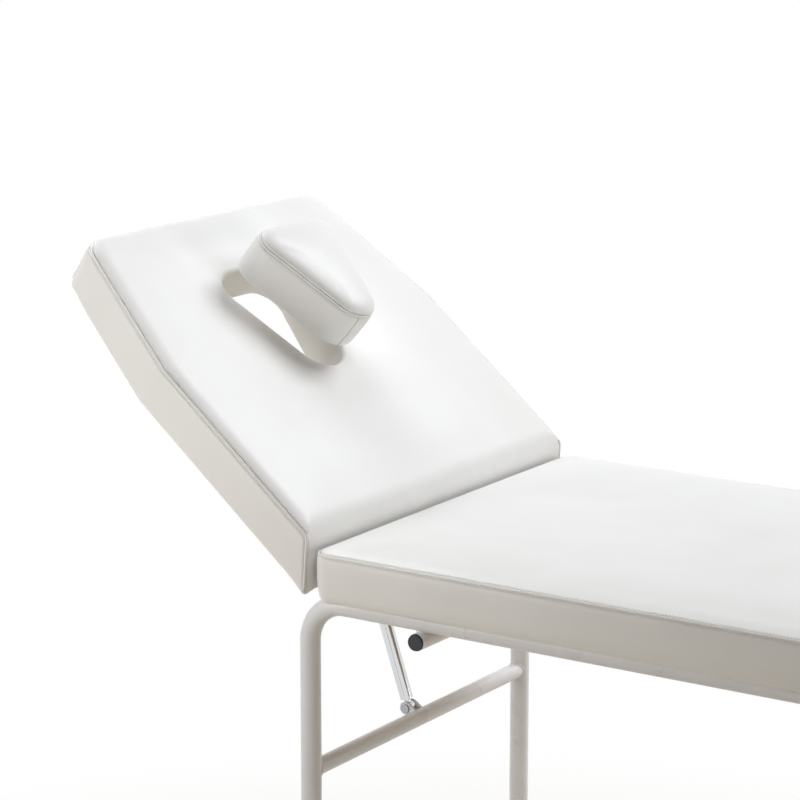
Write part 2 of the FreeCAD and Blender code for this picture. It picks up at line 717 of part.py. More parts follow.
for side_name, side in SIDES:
    spot = BASE.multiply(Placement(Vector(-val("hinge_reach"), 0, rail_z.value), on_hinge(side)))
    sleeve_end = rail_y - rail_radius - cell("side_gap") * 4
    keep(ring(f"hinge_sleeve_{side_name}", bush_radius, barrel_radius + 1, sleeve_start, sleeve_end),
         f"hinge_sleeve_{side_name}", spot)
    keep(ring(f"hinge_washer_{side_name}", bush_radius, barrel_radius + 3, clip_face, washer_face),
         f"hinge_washer_{side_name}", spot)
    keep(ring(f"hinge_clip_{side_name}", pin_radius - cell("groove_depth") + 0.05, pin_radius + 3,
              clip_face - cell("clip_thickness"), clip_face), f"hinge_clip_{side_name}", spot)
    bush = turned(f"hinge_bush_{side_name}", [
        (bush_radius, barrel_face), (barrel_radius, barrel_face), (barrel_radius, arm_y + web_half),
        (barrel_radius + 3, arm_y + web_half), (barrel_radius + 3, flange_face), (bush_radius, flange_face),
    ])
    keep(bush, f"hinge_bush_{side_name}", BACK.multiply(Placement(Vector(), on_hinge(side))))

eye = cell("arm_eye_radius")
for side_name, side in SIDES:
    arm = body(f"backrest_arm_{side_name}")
    web = sketch_on(arm, "XZ_Plane", -arm_y * side)
    polygon(web, [
        (-cell("arm_length"), board_z), (-cell("arm_length"), board_z - cell("arm_tip_height")),
        (-eye * 0.5, -eye * 0.85), (eye * 0.5, -eye * 0.85), (eye * 0.98, -eye * 0.2),
        (eye * 0.98, eye * 0.2), (eye * 0.5, eye * 0.85), (-cell("arm_start") * 0.8, board_z),
    ])
    pad(arm, web, cell("arm_thickness"))
    flange = sketch_on(arm, "XY_Plane", board_z - cell("arm_thickness"))
    edge = arm_y * side
    out = (arm_y + cell("arm_flange")) * side
    polygon(flange, [(-cell("arm_length"), edge), (-cell("arm_start"), edge),
                     (-cell("arm_start") - 12, out), (-cell("arm_length") + 12, out)])
    pad(arm, flange, cell("arm_thickness"), False)
    pocket(arm, disc(sketch_on(arm, "XZ_Plane"), 0, 0, barrel_radius + cell("running_gap") / 2))
    holes = sketch_on(arm, "XY_Plane")
    for x in arm_screw_x:
        disc(holes, x, arm_flange_y * side, hole_radius)
    pocket(arm, holes)
    keep(arm, arm.Name, BACK)

arm_screw = wood_screw("arm_screw", cell("arm_thickness"))
copies("backrest_arm_screws", arm_screw, upright(back_screw_spots), BACK)


# Stay: a notched rod that slides in a tube, between two clevises
def ear_pair(owner, points, centre, radius, bore):
    """Two ears either side of the middle plane, rounded about their bore."""
    inner = cell("eye_width") / 2 + cell("side_gap")
    for side in (-1, 1):
        offset = inner if side > 0 else -inner - cell("ear_thickness")
        pad(owner, polygon(sketch_on(owner, "XZ_Plane", offset), points), cell("ear_thickness"), False)
        pad(owner, disc(sketch_on(owner, "XZ_Plane", offset), *centre, radius), cell("ear_thickness"), False)
    pocket(owner, disc(sketch_on(owner, "XZ_Plane"), *centre, bore))


bracket = body("stay_upper_bracket")
middle = -cell("stay_reach")
long_half, wide_half = cell("bracket_length") / 2, cell("bracket_width") / 2
plate_z = board_z - cell("ear_thickness")
pad(bracket, polygon(sketch_on(bracket, "XY_Plane", plate_z), [
    (middle - long_half, -wide_half), (middle + long_half, -wide_half),
    (middle + long_half, wide_half), (middle - long_half, wide_half),
]), cell("ear_thickness"), False)
ear = cell("ear_radius")
ear_pair(bracket, [
    (middle - ear * 1.8, plate_z), (middle - ear, 0), (middle + ear, 0), (middle + ear * 1.8, plate_z),
], (middle, 0), ear, pivot_radius + cell("running_gap"))
bracket_holes = sketch_on(bracket, "XY_Plane")
for u in (-1, 1):
    for v in (-1, 1):
        disc(bracket_holes, middle + bracket_screw[0] * u, bracket_screw[1] * v, hole_radius)
pocket(bracket, bracket_holes)
keep(bracket, "stay_upper_bracket", BACK)
bracket_screw_body = wood_screw("bracket_screw", cell("ear_thickness"))
copies("stay_bracket_screws", bracket_screw_body, upright(bracket_screw_spots), BACK)

foot_x = -cell("hinge_reach") - cell("stay_foot_reach")
foot_z = of(rail_z.value - pivot_below)
clevis_body = body("stay_clevis_blank")
ear_pair(clevis_body, [
    (foot_x - ear * 0.6, foot_z - ear * 0.8), (head_leg_x - 4, stretcher_z - 6),
    (head_leg_x + 4, stretcher_z + 6), (foot_x + ear * 0.6, foot_z + ear * 0.8),
], (foot_x, foot_z), ear, pivot_radius + cell("running_gap"))
core = cylinder("stay_clevis_seat", cross_radius, rail_y * 2, head_leg_x, -rail_y,
                stretcher_z, ALONG_Y)
keep(cut(clevis_body, core), "stay_lower_clevis", BASE)

pin_half = cell("eye_width") / 2 + cell("side_gap") + cell("ear_thickness") + cell("clip_thickness") + 3


def pivot_pin(name):
    """A pin with a head at one end and a groove for its ring at the other."""
    head = cell("eye_width") / 2 + cell("side_gap") + cell("ear_thickness")
    groove = pivot_radius - cell("groove_depth")
    return turned(name, [
        (0, -head - 3), (pivot_radius + 3, -head - 3), (pivot_radius + 3, -head), (pivot_radius, -head),
        (pivot_radius, head), (groove, head), (groove, head + cell("clip_thickness")),
        (pivot_radius, head + cell("clip_thickness")), (pivot_radius, pin_half), (0, pin_half),
    ])


def pivot_clip(name):
    head = cell("eye_width") / 2 + cell("side_gap") + cell("ear_thickness")
    inner = pivot_radius - cell("groove_depth") + 0.05
    return ring(name, inner, pivot_radius + 3.5, head, head + cell("clip_thickness"))


ACROSS = Rotation(Vector(1, 0, 0), -90)
foot_frame = Placement(FOOT_PIVOT, ACROSS)
head_frame = BACK.multiply(Placement(Vector(-reach, 0, 0), ACROSS))
for name, frame in (("lower", foot_frame), ("upper", head_frame)):
    keep(pivot_pin(f"stay_{name}_pin"), f"stay_{name}_pin", frame)
    keep(pivot_clip(f"stay_{name}_clip"), f"stay_{name}_clip", frame)

stay_radius = cell("stay_tube_dia") / 2
stay_bore = stay_radius - cell("tube_wall")
eye_radius = cell("eye_radius")
tube_start = cell("stay_tube_start")
tube_end = tube_start + cell("stay_tube_length")
lower_eye = body("stay_lower_eye")
pad(lower_eye, disc(sketch_on(lower_eye, "XZ_Plane"), 0, 0, eye_radius), cell("eye_width"))
shank = stay_bore - cell("running_gap")
neck = cell("eye_width") / 2 - 0.5
revolution(lower_eye, polygon(sketch_on(lower_eye, "XZ_Plane"), [
    (0, 0), (neck, 0), (neck, tube_start - 4),
    (stay_radius, tube_start - 4), (stay_radius, tube_start), (shank, tube_start),
    (shank, tube_start + 20), (0, tube_start + 20),
]))
pocket(lower_eye, disc(sketch_on(lower_eye, "XZ_Plane"), 0, 0, pivot_radius + cell("running_gap")))
keep(lower_eye, "stay_lower_eye", STAY)

keep(tube("stay_tube", stay_radius, cell("stay_tube_length"), 0, 0, tube_start, None, cell("tube_wall")),
     "stay_tube", STAY)
rod_radius = cell("stay_rod_dia") / 2
guide = rod_radius + cell("running_gap")
collar_radius = stay_radius + 3
keep(turned("stay_collar", [
    (stay_radius + cell("running_gap"), tube_end - 14), (collar_radius, tube_end - 14),
    (collar_radius, tube_end + 6), (collar_radius - 3, tube_end + 10), (guide, tube_end + 10),
    (guide, tube_end), (stay_radius + cell("running_gap"), tube_end),
]), "stay_collar", STAY)

slot_middle = of(stay_length) + cell("stay_slack")
eye_low = slot_middle - cell("slot_travel") - cell("ear_radius") - cell("eye_neck")
rod_top = eye_low - 2
rod_low = rod_top - cell("stay_rod_length")
notch_low, depth = rod_radius - cell("notch_depth"), cell("notch_width")
profile = [(0, rod_low), (rod_radius, rod_low)]
NOTCHES = 9
for i in range(NOTCHES):
    start = rod_low + 18 + cell("notch_pitch") * i
    profile += [(rod_radius, start), (notch_low, start + depth * 0.3),
                (notch_low, start + depth * 0.7), (rod_radius, start + depth)]
profile += [(rod_radius, rod_top), (0, rod_top)]
keep(turned("stay_rod", profile), "stay_rod", STAY)
keep(ring("stay_rod_guide", rod_radius + cell("running_gap") / 2, stay_bore - cell("running_gap"),
          rod_low + 2, rod_low + 14), "stay_rod_guide", STAY)

upper_eye = body("stay_upper_eye")
slot_low, slot_high = slot_middle - cell("slot_travel"), slot_middle + cell("slot_travel")
pad(upper_eye, polygon(sketch_on(upper_eye, "XZ_Plane"), [
    (-eye_radius, slot_low), (eye_radius, slot_low), (eye_radius, slot_high), (-eye_radius, slot_high),
]), cell("eye_width"))
for z in (slot_low, slot_high):
    pad(upper_eye, disc(sketch_on(upper_eye, "XZ_Plane"), 0, z, eye_radius), cell("eye_width"))
socket = rod_radius + cell("running_gap") / 2
revolution(upper_eye, polygon(sketch_on(upper_eye, "XZ_Plane"), [
    (0, rod_top), (socket, rod_top), (socket, rod_top - 14), (socket + 2.5, rod_top - 14),
    (socket + 2.5, eye_low), (neck, eye_low + 3), (neck, slot_low), (0, slot_low),
]))
slot_radius = pivot_radius + cell("running_gap")
pocket(upper_eye, polygon(sketch_on(upper_eye, "XZ_Plane"), [
    (-slot_radius, slot_low), (slot_radius, slot_low), (slot_radius, slot_high), (-slot_radius, slot_high),
]))
for z in (slot_low, slot_high):
    pocket(upper_eye, disc(sketch_on(upper_eye, "XZ_Plane"), 0, z, slot_radius))
keep(upper_eye, "stay_upper_eye", STAY)

doc.recompute()
for obj in doc.Objects:
    if "Invalid" in obj.State or "Error" in obj.State:
        raise RuntimeError(f"{obj.Label} did not build: {obj.State}")
for label, obj in NODES.items():
    if obj.Shape.isNull() or not obj.Shape.isValid() or not obj.Shape.Solids:
        raise RuntimeError(f"{label} has no valid solid")

os.makedirs("parts", exist_ok=True)
for label, obj in NODES.items():
    obj.Shape.exportStep(f"parts/{label}.step")
    print(label, len(obj.Shape.Solids), round(obj.Shape.Volume))
print(len(NODES), "nodes; stay", round(stay_length, 2), "lean", round(stay_lean, 2),
      "lower pivot", [round(c, 2) for c in FOOT_PIVOT], "hinge", [round(c, 2) for c in HINGE])
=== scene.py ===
"""Looks of a treatment bed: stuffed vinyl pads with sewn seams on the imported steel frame."""
import json
import math

import bpy
from mathutils import Matrix, Vector, kdtree, noise


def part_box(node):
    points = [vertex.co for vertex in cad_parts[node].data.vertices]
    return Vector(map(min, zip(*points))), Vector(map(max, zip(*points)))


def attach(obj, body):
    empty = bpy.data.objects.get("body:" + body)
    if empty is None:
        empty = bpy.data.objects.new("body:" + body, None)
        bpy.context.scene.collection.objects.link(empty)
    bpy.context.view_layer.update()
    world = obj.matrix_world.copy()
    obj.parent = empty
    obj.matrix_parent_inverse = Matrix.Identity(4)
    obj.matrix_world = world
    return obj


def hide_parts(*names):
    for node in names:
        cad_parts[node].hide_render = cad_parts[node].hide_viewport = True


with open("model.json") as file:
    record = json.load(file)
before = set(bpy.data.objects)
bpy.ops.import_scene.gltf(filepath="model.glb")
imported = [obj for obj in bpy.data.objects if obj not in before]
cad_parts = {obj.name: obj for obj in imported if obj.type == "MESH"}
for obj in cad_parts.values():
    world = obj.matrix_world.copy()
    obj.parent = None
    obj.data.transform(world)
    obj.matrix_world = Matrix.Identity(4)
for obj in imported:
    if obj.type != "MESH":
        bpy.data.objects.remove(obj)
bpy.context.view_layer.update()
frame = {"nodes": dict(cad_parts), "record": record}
NODES = frame["nodes"]
JOINTS = {joint["name"]: joint for joint in frame["record"]["behaviour"]["joints"]}

# Sizes of the pads, in metres, the same as in the CAD
HALF_WIDTH = 0.350
SEAT_LENGTH = 1.250
SEAT_TOP = 0.720
PAD_HEIGHT = 0.070
BOARD_INSET = 0.018
BOARD_HEIGHT = 0.012
POCKET_GAP = 0.0005
BACK_ANGLE = math.radians(40)
BACK_BEVEL = math.radians(36)
BACK_LENGTH = 0.573
BACK_KINK = 0.326
BACK_TAPER = 0.060
BACK_UNDER = 0.020
HOLE_MARGIN = 0.116
HOLE_LENGTH = 0.204
HOLE_WIDTH = 0.184
HOLE_HEAD_RADIUS = 0.038
HOLE_FOOT_RADIUS = 0.050
PLUG_GAP = 0.003
PLUG_LIFT = 0.103

SEAT_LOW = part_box("seat_cover")[0]
HINGE = Vector(JOINTS["backrest_hinge"]["pos_m"])
BACK_TOP = BACK_UNDER + PAD_HEIGHT
PAD_GAP, HINGE_REACH = 0.004, 0.009
BACK_START = (HINGE_REACH - PAD_GAP - BACK_TOP * math.sin(BACK_ANGLE)) / math.cos(BACK_ANGLE)
BACK_HEAD = BACK_START - BACK_LENGTH

SEAT_PLACE = Matrix.Translation((SEAT_LOW.x, 0, SEAT_LOW.z))
BACK_PLACE = Matrix.Translation(HINGE) @ Matrix.Rotation(BACK_ANGLE, 4, "Y")
BACK_PAD_PLACE = BACK_PLACE @ Matrix.Translation((0, 0, BACK_UNDER))
PLUG_PLACE = BACK_PAD_PLACE @ Matrix.Translation((0, 0, PLUG_LIFT))


# Materials
def linear(hex_colour, alpha=1.0):
    """An sRGB hex colour as Blender's linear values."""
    parts = [int(hex_colour[i:i + 2], 16) / 255 for i in (0, 2, 4)]
    return (*[c / 12.92 if c <= 0.04045 else ((c + 0.055) / 1.055) ** 2.4 for c in parts], alpha)


def add_node(tree, kind, settings=(), links=(), **values):
    """Add a node: its own settings, then socket values by name, then links into its sockets."""
    node = tree.nodes.new(kind)
    for name, value in dict(settings).items():
        setattr(node, name, value)
    for name, value in values.items():
        node.inputs[name.replace("_", " ")].default_value = value
    for socket, source in dict(links).items():
        tree.links.new(source, node.inputs[socket])
    return node


def new_material(name, colour, roughness, metallic=0.0):
    """A material with a Principled shader; returns it with its tree, shader and coordinates."""
    material = bpy.data.materials.new(name)
    material.use_nodes = True
    tree = material.node_tree
    shader = tree.nodes["Principled BSDF"]
    shader.inputs["Base Color"].default_value = linear(colour)
    shader.inputs["Roughness"].default_value = roughness
    shader.inputs["Metallic"].default_value = metallic
    place = add_node(tree, "ShaderNodeTexCoord").outputs["Object"]
    return material, tree, shader, place


def per_metre(millimetres):
    """Texture scale whose cells are about this size."""
    return 1000 / millimetres


def two_tones(tree, source, dark, light):
    """A colour between two tones, by the value of a source."""
    tone = add_node(tree, "ShaderNodeValToRGB", (), {"Fac": source})
    tone.color_ramp.elements[0].color = linear(dark)
    tone.color_ramp.elements[1].color = linear(light)
    return tone


def vinyl(name, colour, shade, worn):
    """PU leathercloth, calendered with a pebble grain: a soft satin sheen broken by the grain."""
    material, tree, shader, place = new_material(name, colour, 0.42)
    grain = add_node(tree, "ShaderNodeTexVoronoi", {"feature": "SMOOTH_F1"}, {"Vector": place},
                     Scale=per_metre(1.4), Smoothness=0.6)
    creases = add_node(tree, "ShaderNodeTexNoise", (), {"Vector": place},
                       Scale=per_metre(9), Detail=5.0)
    slack = add_node(tree, "ShaderNodeTexNoise", (), {"Vector": place},
                     Scale=per_metre(160), Detail=2.0)
    height = add_node(tree, "ShaderNodeMix", {"data_type": "FLOAT"},
                      {2: grain.outputs["Distance"], 3: creases.outputs["Fac"]}, Factor=0.35)
    bump = add_node(tree, "ShaderNodeBump", (), {"Height": height.outputs[0]},
                    Strength=0.10, Distance=0.0004)
    tone = two_tones(tree, slack.outputs["Fac"], shade, colour)
    tone.color_ramp.elements[0].position, tone.color_ramp.elements[1].position = 0.3, 0.7
    gloss = add_node(tree, "ShaderNodeMapRange", (), {"Value": creases.outputs["Fac"]},
                     To_Min=0.36, To_Max=worn)
    tree.links.new(tone.outputs["Color"], shader.inputs["Base Color"])
    tree.links.new(gloss.outputs["Result"], shader.inputs["Roughness"])
    tree.links.new(bump.outputs["Normal"], shader.inputs["Normal"])
    return material


def powder_coat():
    """Steel tube powder coated in pale grey: glossy, with a faint orange peel."""
    material, tree, shader, place = new_material("powder_coated_steel", "EEEFF2", 0.28)
    peel = add_node(tree, "ShaderNodeTexNoise", (), {"Vector": place},
                    Scale=per_metre(3), Detail=1.0)
    scuffs = add_node(tree, "ShaderNodeTexNoise", (), {"Vector": place},
                      Scale=per_metre(45), Detail=6.0)
    bump = add_node(tree, "ShaderNodeBump", (), {"Height": peel.outputs["Fac"]},
                    Strength=0.08, Distance=0.0004)
    gloss = add_node(tree, "ShaderNodeMapRange", (), {"Value": scuffs.outputs["Fac"]},
                     To_Min=0.2, To_Max=0.4)
    tone = two_tones(tree, scuffs.outputs["Fac"], "E6E7EA", "F1F2F5")
    tree.links.new(tone.outputs["Color"], shader.inputs["Base Color"])
    tree.links.new(gloss.outputs["Result"], shader.inputs["Roughness"])
    tree.links.new(bump.outputs["Normal"], shader.inputs["Normal"])
    return material


def chrome():
    """Chromium plated steel: a clear mirror with faint polishing haze."""
    material, tree, shader, place = new_material("chromium_plate", "D8DADC", 0.07, 1.0)
    haze = add_node(tree, "ShaderNodeTexNoise", (), {"Vector": place},
                    Scale=per_metre(12), Detail=4.0)
    gloss = add_node(tree, "ShaderNodeMapRange", (), {"Value": haze.outputs["Fac"]},
                     To_Min=0.04, To_Max=0.13)
    tree.links.new(gloss.outputs["Result"], shader.inputs["Roughness"])
    return material


def zinc():
    """Zinc plated steel fixings: dull blue-grey with small crystals and scuffs."""
    material, tree, shader, place = new_material("zinc_plate", "A9ADB2", 0.36, 1.0)
    crystals = add_node(tree, "ShaderNodeTexVoronoi", (), {"Vector": place}, Scale=per_metre(2))
    gloss = add_node(tree, "ShaderNodeMapRange", (), {"Value": crystals.outputs["Distance"]},
                     To_Min=0.28, To_Max=0.5)
    tone = two_tones(tree, crystals.outputs["Distance"], "9EA2A8", "B4B7BB")
    tree.links.new(tone.outputs["Color"], shader.inputs["Base Color"])
    tree.links.new(gloss.outputs["Result"], shader.inputs["Roughness"])
    return material


def moulded(name, colour, low, high, grit):
    """Moulded rubber, nylon or foam: its roughness is broken by the skin of its mould."""
    material, tree, shader, place = new_material(name, colour, low)
    skin = add_node(tree, "ShaderNodeTexNoise", (), {"Vector": place},
                    Scale=per_metre(grit), Detail=4.0)
    gloss = add_node(tree, "ShaderNodeMapRange", (), {"Value": skin.outputs["Fac"]},
                     To_Min=low, To_Max=high)
    bump = add_node(tree, "ShaderNodeBump", (), {"Height": skin.outputs["Fac"]},
                    Strength=0.25, Distance=0.0003)
    tree.links.new(gloss.outputs["Result"], shader.inputs["Roughness"])
    tree.links.new(bump.outputs["Normal"], shader.inputs["Normal"])
    return material


def plywood():
    """Birch plywood, sanded and unfinished: pale, with long wavy figure and small pores."""
    material, tree, shader, place = new_material("birch_plywood", "C9A878", 0.6)
    turned = add_node(tree, "ShaderNodeMapping", (), {"Vector": place}, Scale=(0.12, 1.0, 1.0))
    figure = add_node(tree, "ShaderNodeTexWave", {"bands_direction": "Y"},
                      {"Vector": turned.outputs["Vector"]}, Scale=per_metre(110), Distortion=9.0,
                      Detail=4.0, Detail_Scale=1.5)
    pores = add_node(tree, "ShaderNodeTexNoise", (), {"Vector": turned.outputs["Vector"]},
                     Scale=per_metre(4), Detail=3.0)
    tone = two_tones(tree, figure.outputs["Fac"], "B8925F", "D3B78B")
    bump = add_node(tree, "ShaderNodeBump", (), {"Height": pores.outputs["Fac"]},
                    Strength=0.2, Distance=0.0004)
    tree.links.new(tone.outputs["Color"], shader.inputs["Base Color"])
    tree.links.new(bump.outputs["Normal"], shader.inputs["Normal"])
    return material


WHITE_VINYL = vinyl("white_leathercloth", "F4F3F1", "EFEEEB", 0.5)
STITCH_THREAD = vinyl("white_polyester_thread", "EDEBE6", "E4E1DA", 0.7)
FINISHES = {
    "white_vinyl": WHITE_VINYL,
    "foam": moulded("cut_foam", "DCD3AE", 0.8, 0.95, 3),
    "plywood": plywood(),
    "frame_paint": powder_coat(),
    "stay_chrome": chrome(),
    "zinc_steel": zinc(),
    "ferrule_rubber": moulded("black_rubber", "1B1B1B", 0.6, 0.85, 2),
    "black_plastic": moulded("black_nylon", "161616", 0.35, 0.55, 1.5),
}
for subpart in frame["record"]["subparts"]:
    node = NODES[subpart["node"]]
    node.data.materials.clear()
    node.data.materials.append(FINISHES[subpart["material_slot"]])


def finish_piece(piece, material, body, place):
    """Put a piece in its place, give it its material, and tie it to its body."""
    piece.data.transform(place)
    piece.data.materials.clear()
    piece.data.materials.append(material)
    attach(piece, body)


# Outlines of the pads, counter-clockwise from the middle of the foot side
LEAST_RADIUS = 0.003
OPENING_STEPS = 24


def inset_corners(corners, inset):
    """The corners of an outline that is drawn in by the inset."""
    moved = []
    for i, here in enumerate(corners):
        into = (here - corners[i - 1]).normalized()
        out = (corners[(i + 1) % len(corners)] - here).normalized()
        left_in, left_out = Vector((-into.y, into.x)), Vector((-out.y, out.x))
        moved.append(here + (left_in + left_out) * (inset / (1 + left_in.dot(left_out))))
    return moved


def arc_points(centre, radius, start, end, steps):
    """Points on an arc, from one bearing to another."""
    return [centre + radius * Vector((math.cos(start + (end - start) * i / steps),
                                      math.sin(start + (end - start) * i / steps)))
            for i in range(steps + 1)]


def even_points(points, count):
    """Points evenly spaced along a closed line."""
    closed = points + points[:1]
    lengths = [(b - a).length for a, b in zip(closed, closed[1:])]
    step = sum(lengths) / count
    spaced, walked, i = [], 0.0, 0
    for k in range(count):
        wanted = k * step
        while walked + lengths[i] < wanted:
            walked += lengths[i]
            i += 1
        spaced.append(closed[i].lerp(closed[i + 1], (wanted - walked) / max(lengths[i], 1e-9)))
    return spaced


def rounded_arcs(corners, radii, steps, inset=0.0):
    """The rounded corners of an outline that is drawn in by the inset, one list of points each."""
    arcs = []
    corners = inset_corners(corners, inset)
    for i, here in enumerate(corners):
        back = (corners[i - 1] - here).normalized()
        on = (corners[(i + 1) % len(corners)] - here).normalized()
        radius = max(radii[i] - inset, LEAST_RADIUS)
        half = back.angle(on) / 2
        centre = here + (back + on).normalized() * (radius / math.sin(half))
        first = here + back * (radius / math.tan(half)) - centre
        start = math.atan2(first.y, first.x)
        arcs.append(arc_points(centre, radius, start, start + math.pi - 2 * half, steps[i]))
    return arcs


def rounded_outline(corners, radii, steps, runs, inset=0.0):
    """A pad's outline with a fixed number of points on each corner and on the run after it.

    The last run faces the foot.
    """
    arcs = rounded_arcs(corners, radii, steps, inset)
    line = []
    for i, arc in enumerate(arcs):
        end, following = arc[-1], arcs[(i + 1) % len(arcs)][0]
        line += arc + [end.lerp(following, (k + 1) / (runs[i] + 1)) for k in range(runs[i])]
    middle = len(line) - (runs[-1] + 1) // 2
    return line[middle:] + line[:middle]


def opening_outline(grow, count):
    """The face opening: the line round two head circles and one foot circle, all grown alike."""
    head = BACK_HEAD + HOLE_MARGIN
    aside = HOLE_WIDTH / 2 - HOLE_HEAD_RADIUS
    circles = [(Vector((head + HOLE_LENGTH - HOLE_FOOT_RADIUS, 0)), HOLE_FOOT_RADIUS),
               (Vector((head + HOLE_HEAD_RADIUS, aside)), HOLE_HEAD_RADIUS),
               (Vector((head + HOLE_HEAD_RADIUS, -aside)), HOLE_HEAD_RADIUS)]
    bearings = []
    for (c0, r0), (c1, r1) in zip(circles, circles[1:] + circles[:1]):
        along = c1 - c0
        lean = math.asin((r1 - r0) / along.length)
        bearings.append(math.atan2(along.y, along.x) - math.pi / 2 + lean)
    line = []
    for i, (centre, radius) in enumerate(circles):
        start, end = bearings[i - 1], bearings[i]
        while end < start:
            end += 2 * math.pi
        while end - start > 2 * math.pi:
            start += 2 * math.pi
        line += arc_points(centre, radius + grow, start, end, OPENING_STEPS)
    foot = Vector((head + HOLE_LENGTH + grow, 0))
    middle = min(range(len(line)), key=lambda k: (line[k] - foot).length)
    return even_points(line[middle:] + line[:middle], count)


def pad_mesh(name, rings, filled=True):
    """A skin through rings of equal count; its first and last ring are filled side to side."""
    count = len(rings[0])
    points = [point for ring in rings for point in ring]
    faces = []
    for r in range(len(rings) - 1):
        for k in range(count):
            a, b = r * count + k, r * count + (k + 1) % count
            faces.append((a, b, b + count, a + count))
    for first in (0, (len(rings) - 1) * count) if filled else ():
        for k in range(count // 2):
            across = [k, k + 1, count - k - 1, (count - k) % count]
            faces.append([first + i for i in dict.fromkeys(across)])
    mesh = bpy.data.meshes.new(name)
    mesh.from_pydata(points, [], faces)
    piece = bpy.data.objects.new(name, mesh)
    bpy.context.collection.objects.link(piece)
    return piece


def at_height(outline, z):
    """An outline's points, all at one height."""
    return [(p.x, p.y, z) for p in outline]


def activate(piece):
    """Select one piece alone for the next operator."""
    bpy.ops.object.select_all(action="DESELECT")
    piece.select_set(True)
    bpy.context.view_layer.objects.active = piece


# Camera, at the photograph's place
CAMERA_LENS = 135.4
CAMERA_OFFSET = Vector((2.3471, -3.3152, 1.1164))     # from the seat's near head corner
CAMERA_AZIMUTH, CAMERA_ELEVATION = math.radians(33.51), math.radians(12.48)
camera = bpy.data.objects.new("camera", bpy.data.cameras.new("camera"))
bpy.context.collection.objects.link(camera)
camera.data.lens = CAMERA_LENS
camera.data.sensor_width = 36
camera.data.clip_end = 60
camera.location = Vector((SEAT_LOW.x, -HALF_WIDTH, SEAT_TOP)) + CAMERA_OFFSET
camera.rotation_euler = (math.pi / 2 - CAMERA_ELEVATION, 0, CAMERA_AZIMUTH)
bpy.context.scene.camera = camera


# Pads: a cover over foam, drawn round the board, with a piped seam where the top meets the side
# Every profile lists levels: height above the board's underside, inset from the widest line
# Lower edges: the seat's foam hangs below its board
SEAT_TUCK = [(-0.0030, 0.0200), (-0.0036, 0.0150), (-0.0020, 0.0095), (0.0035, 0.0042),
             (0.0120, 0.0012), (0.0240, 0.0000)]
BACK_TUCK = [(-0.0010, 0.0120), (-0.0002, 0.0030), (0.0012, 0.0008), (0.0060, 0.0000),
             (0.0180, 0.0000), (0.0340, 0.0000)]
PLUG_TUCK = [(-0.0010, 0.0140), (0.0000, 0.0045), (0.0020, 0.0022), (0.0070, 0.0008),
             (0.0180, 0.0000), (0.0340, 0.0000)]
PIPED_EDGE = [
    # side, groove behind the piping, rolled top
    (0.0470, -0.0005), (0.0550, -0.0004), (0.0600, 0.0000), (0.0628, 0.0006), (0.0644, 0.0020),
    (0.0655, 0.0042), (0.0667, 0.0052), (0.0679, 0.0048), (0.0690, 0.0048), (0.0706, 0.0066),
    (0.0728, 0.0110), (0.0750, 0.0175), (0.0762, 0.0250),
]
PLAIN_ROLL = [
    # the same levels where the cover is in one piece over the edge
    (0.0470, -0.0003), (0.0560, -0.0001), (0.0615, 0.0001), (0.0648, 0.0005), (0.0671, 0.0012),
    (0.0688, 0.0022), (0.0702, 0.0035), (0.0714, 0.0051), (0.0724, 0.0070), (0.0735, 0.0096),
    (0.0746, 0.0132), (0.0755, 0.0184), (0.0762, 0.0250),
]
# The same levels again where the cover is drawn softly over the foot end of the backrest
SOFT_START, SOFT_TOP, SOFT_RUN = 0.0560, 0.0762, 0.0250
SOFT_STEPS = 11
SOFT_ROLL = [(0.0470, 0.0000)] + [
    (SOFT_TOP - (SOFT_TOP - SOFT_START) * (1 - k / SOFT_STEPS) ** 2,
     SOFT_RUN * (k / SOFT_STEPS) ** 2) for k in range(SOFT_STEPS + 1)]
PLUG_EDGE = [
    # the plug's top is stuffed fuller: above the groove its cover swells out again
    (0.0440, -0.0005), (0.0540, -0.0004), (0.0595, 0.0000), (0.0626, 0.0006), (0.0642, 0.0026),
    (0.0649, 0.0054), (0.0658, 0.0062), (0.0667, 0.0052), (0.0682, 0.0026), (0.0710, 0.0028),
    (0.0744, 0.0066), (0.0772, 0.0130), (0.0792, 0.0215),
]
# Lines of the cords and of the stitches, as levels
PIPING = (0.0666, 0.0026)
PLUG_PIPING = (0.0656, 0.0034)
STITCHES = (0.0702, 0.0059)
PIPING_RADIUS = 0.0018
KNOT = 1.5     # times the cord's radius, where the cover is bunched round it
TURN_UNDER = [
    # the cover's edge, turned under the board and stapled
    (-0.0002, 0.0300), (-0.0002, 0.0420), (-0.0007, 0.0426), (-0.0013, 0.0420), (-0.0013, 0.0280),
]
SEAM_START, SEAM_END = 0.0620, 0.0705
STAPLED_BELOW = 0.002
POCKET_TOP, UNDERSIDE = BOARD_HEIGHT + POCKET_GAP, -0.0002
POCKET_SPANS = (0.02, 0.6, 1.0)     # shares of the way from the middle of the pocket to its wall
CROWN = 0.003
DIP_START = 0.6     # share of the way in, from which a dip draws the cover down
CLOTH_FRAMES, CLOTH_QUALITY = 20, 4
EVENING = 0.6     # share of the neighbours' swelling that each round of evening takes on
GATHER_SIZE = 24     # mm


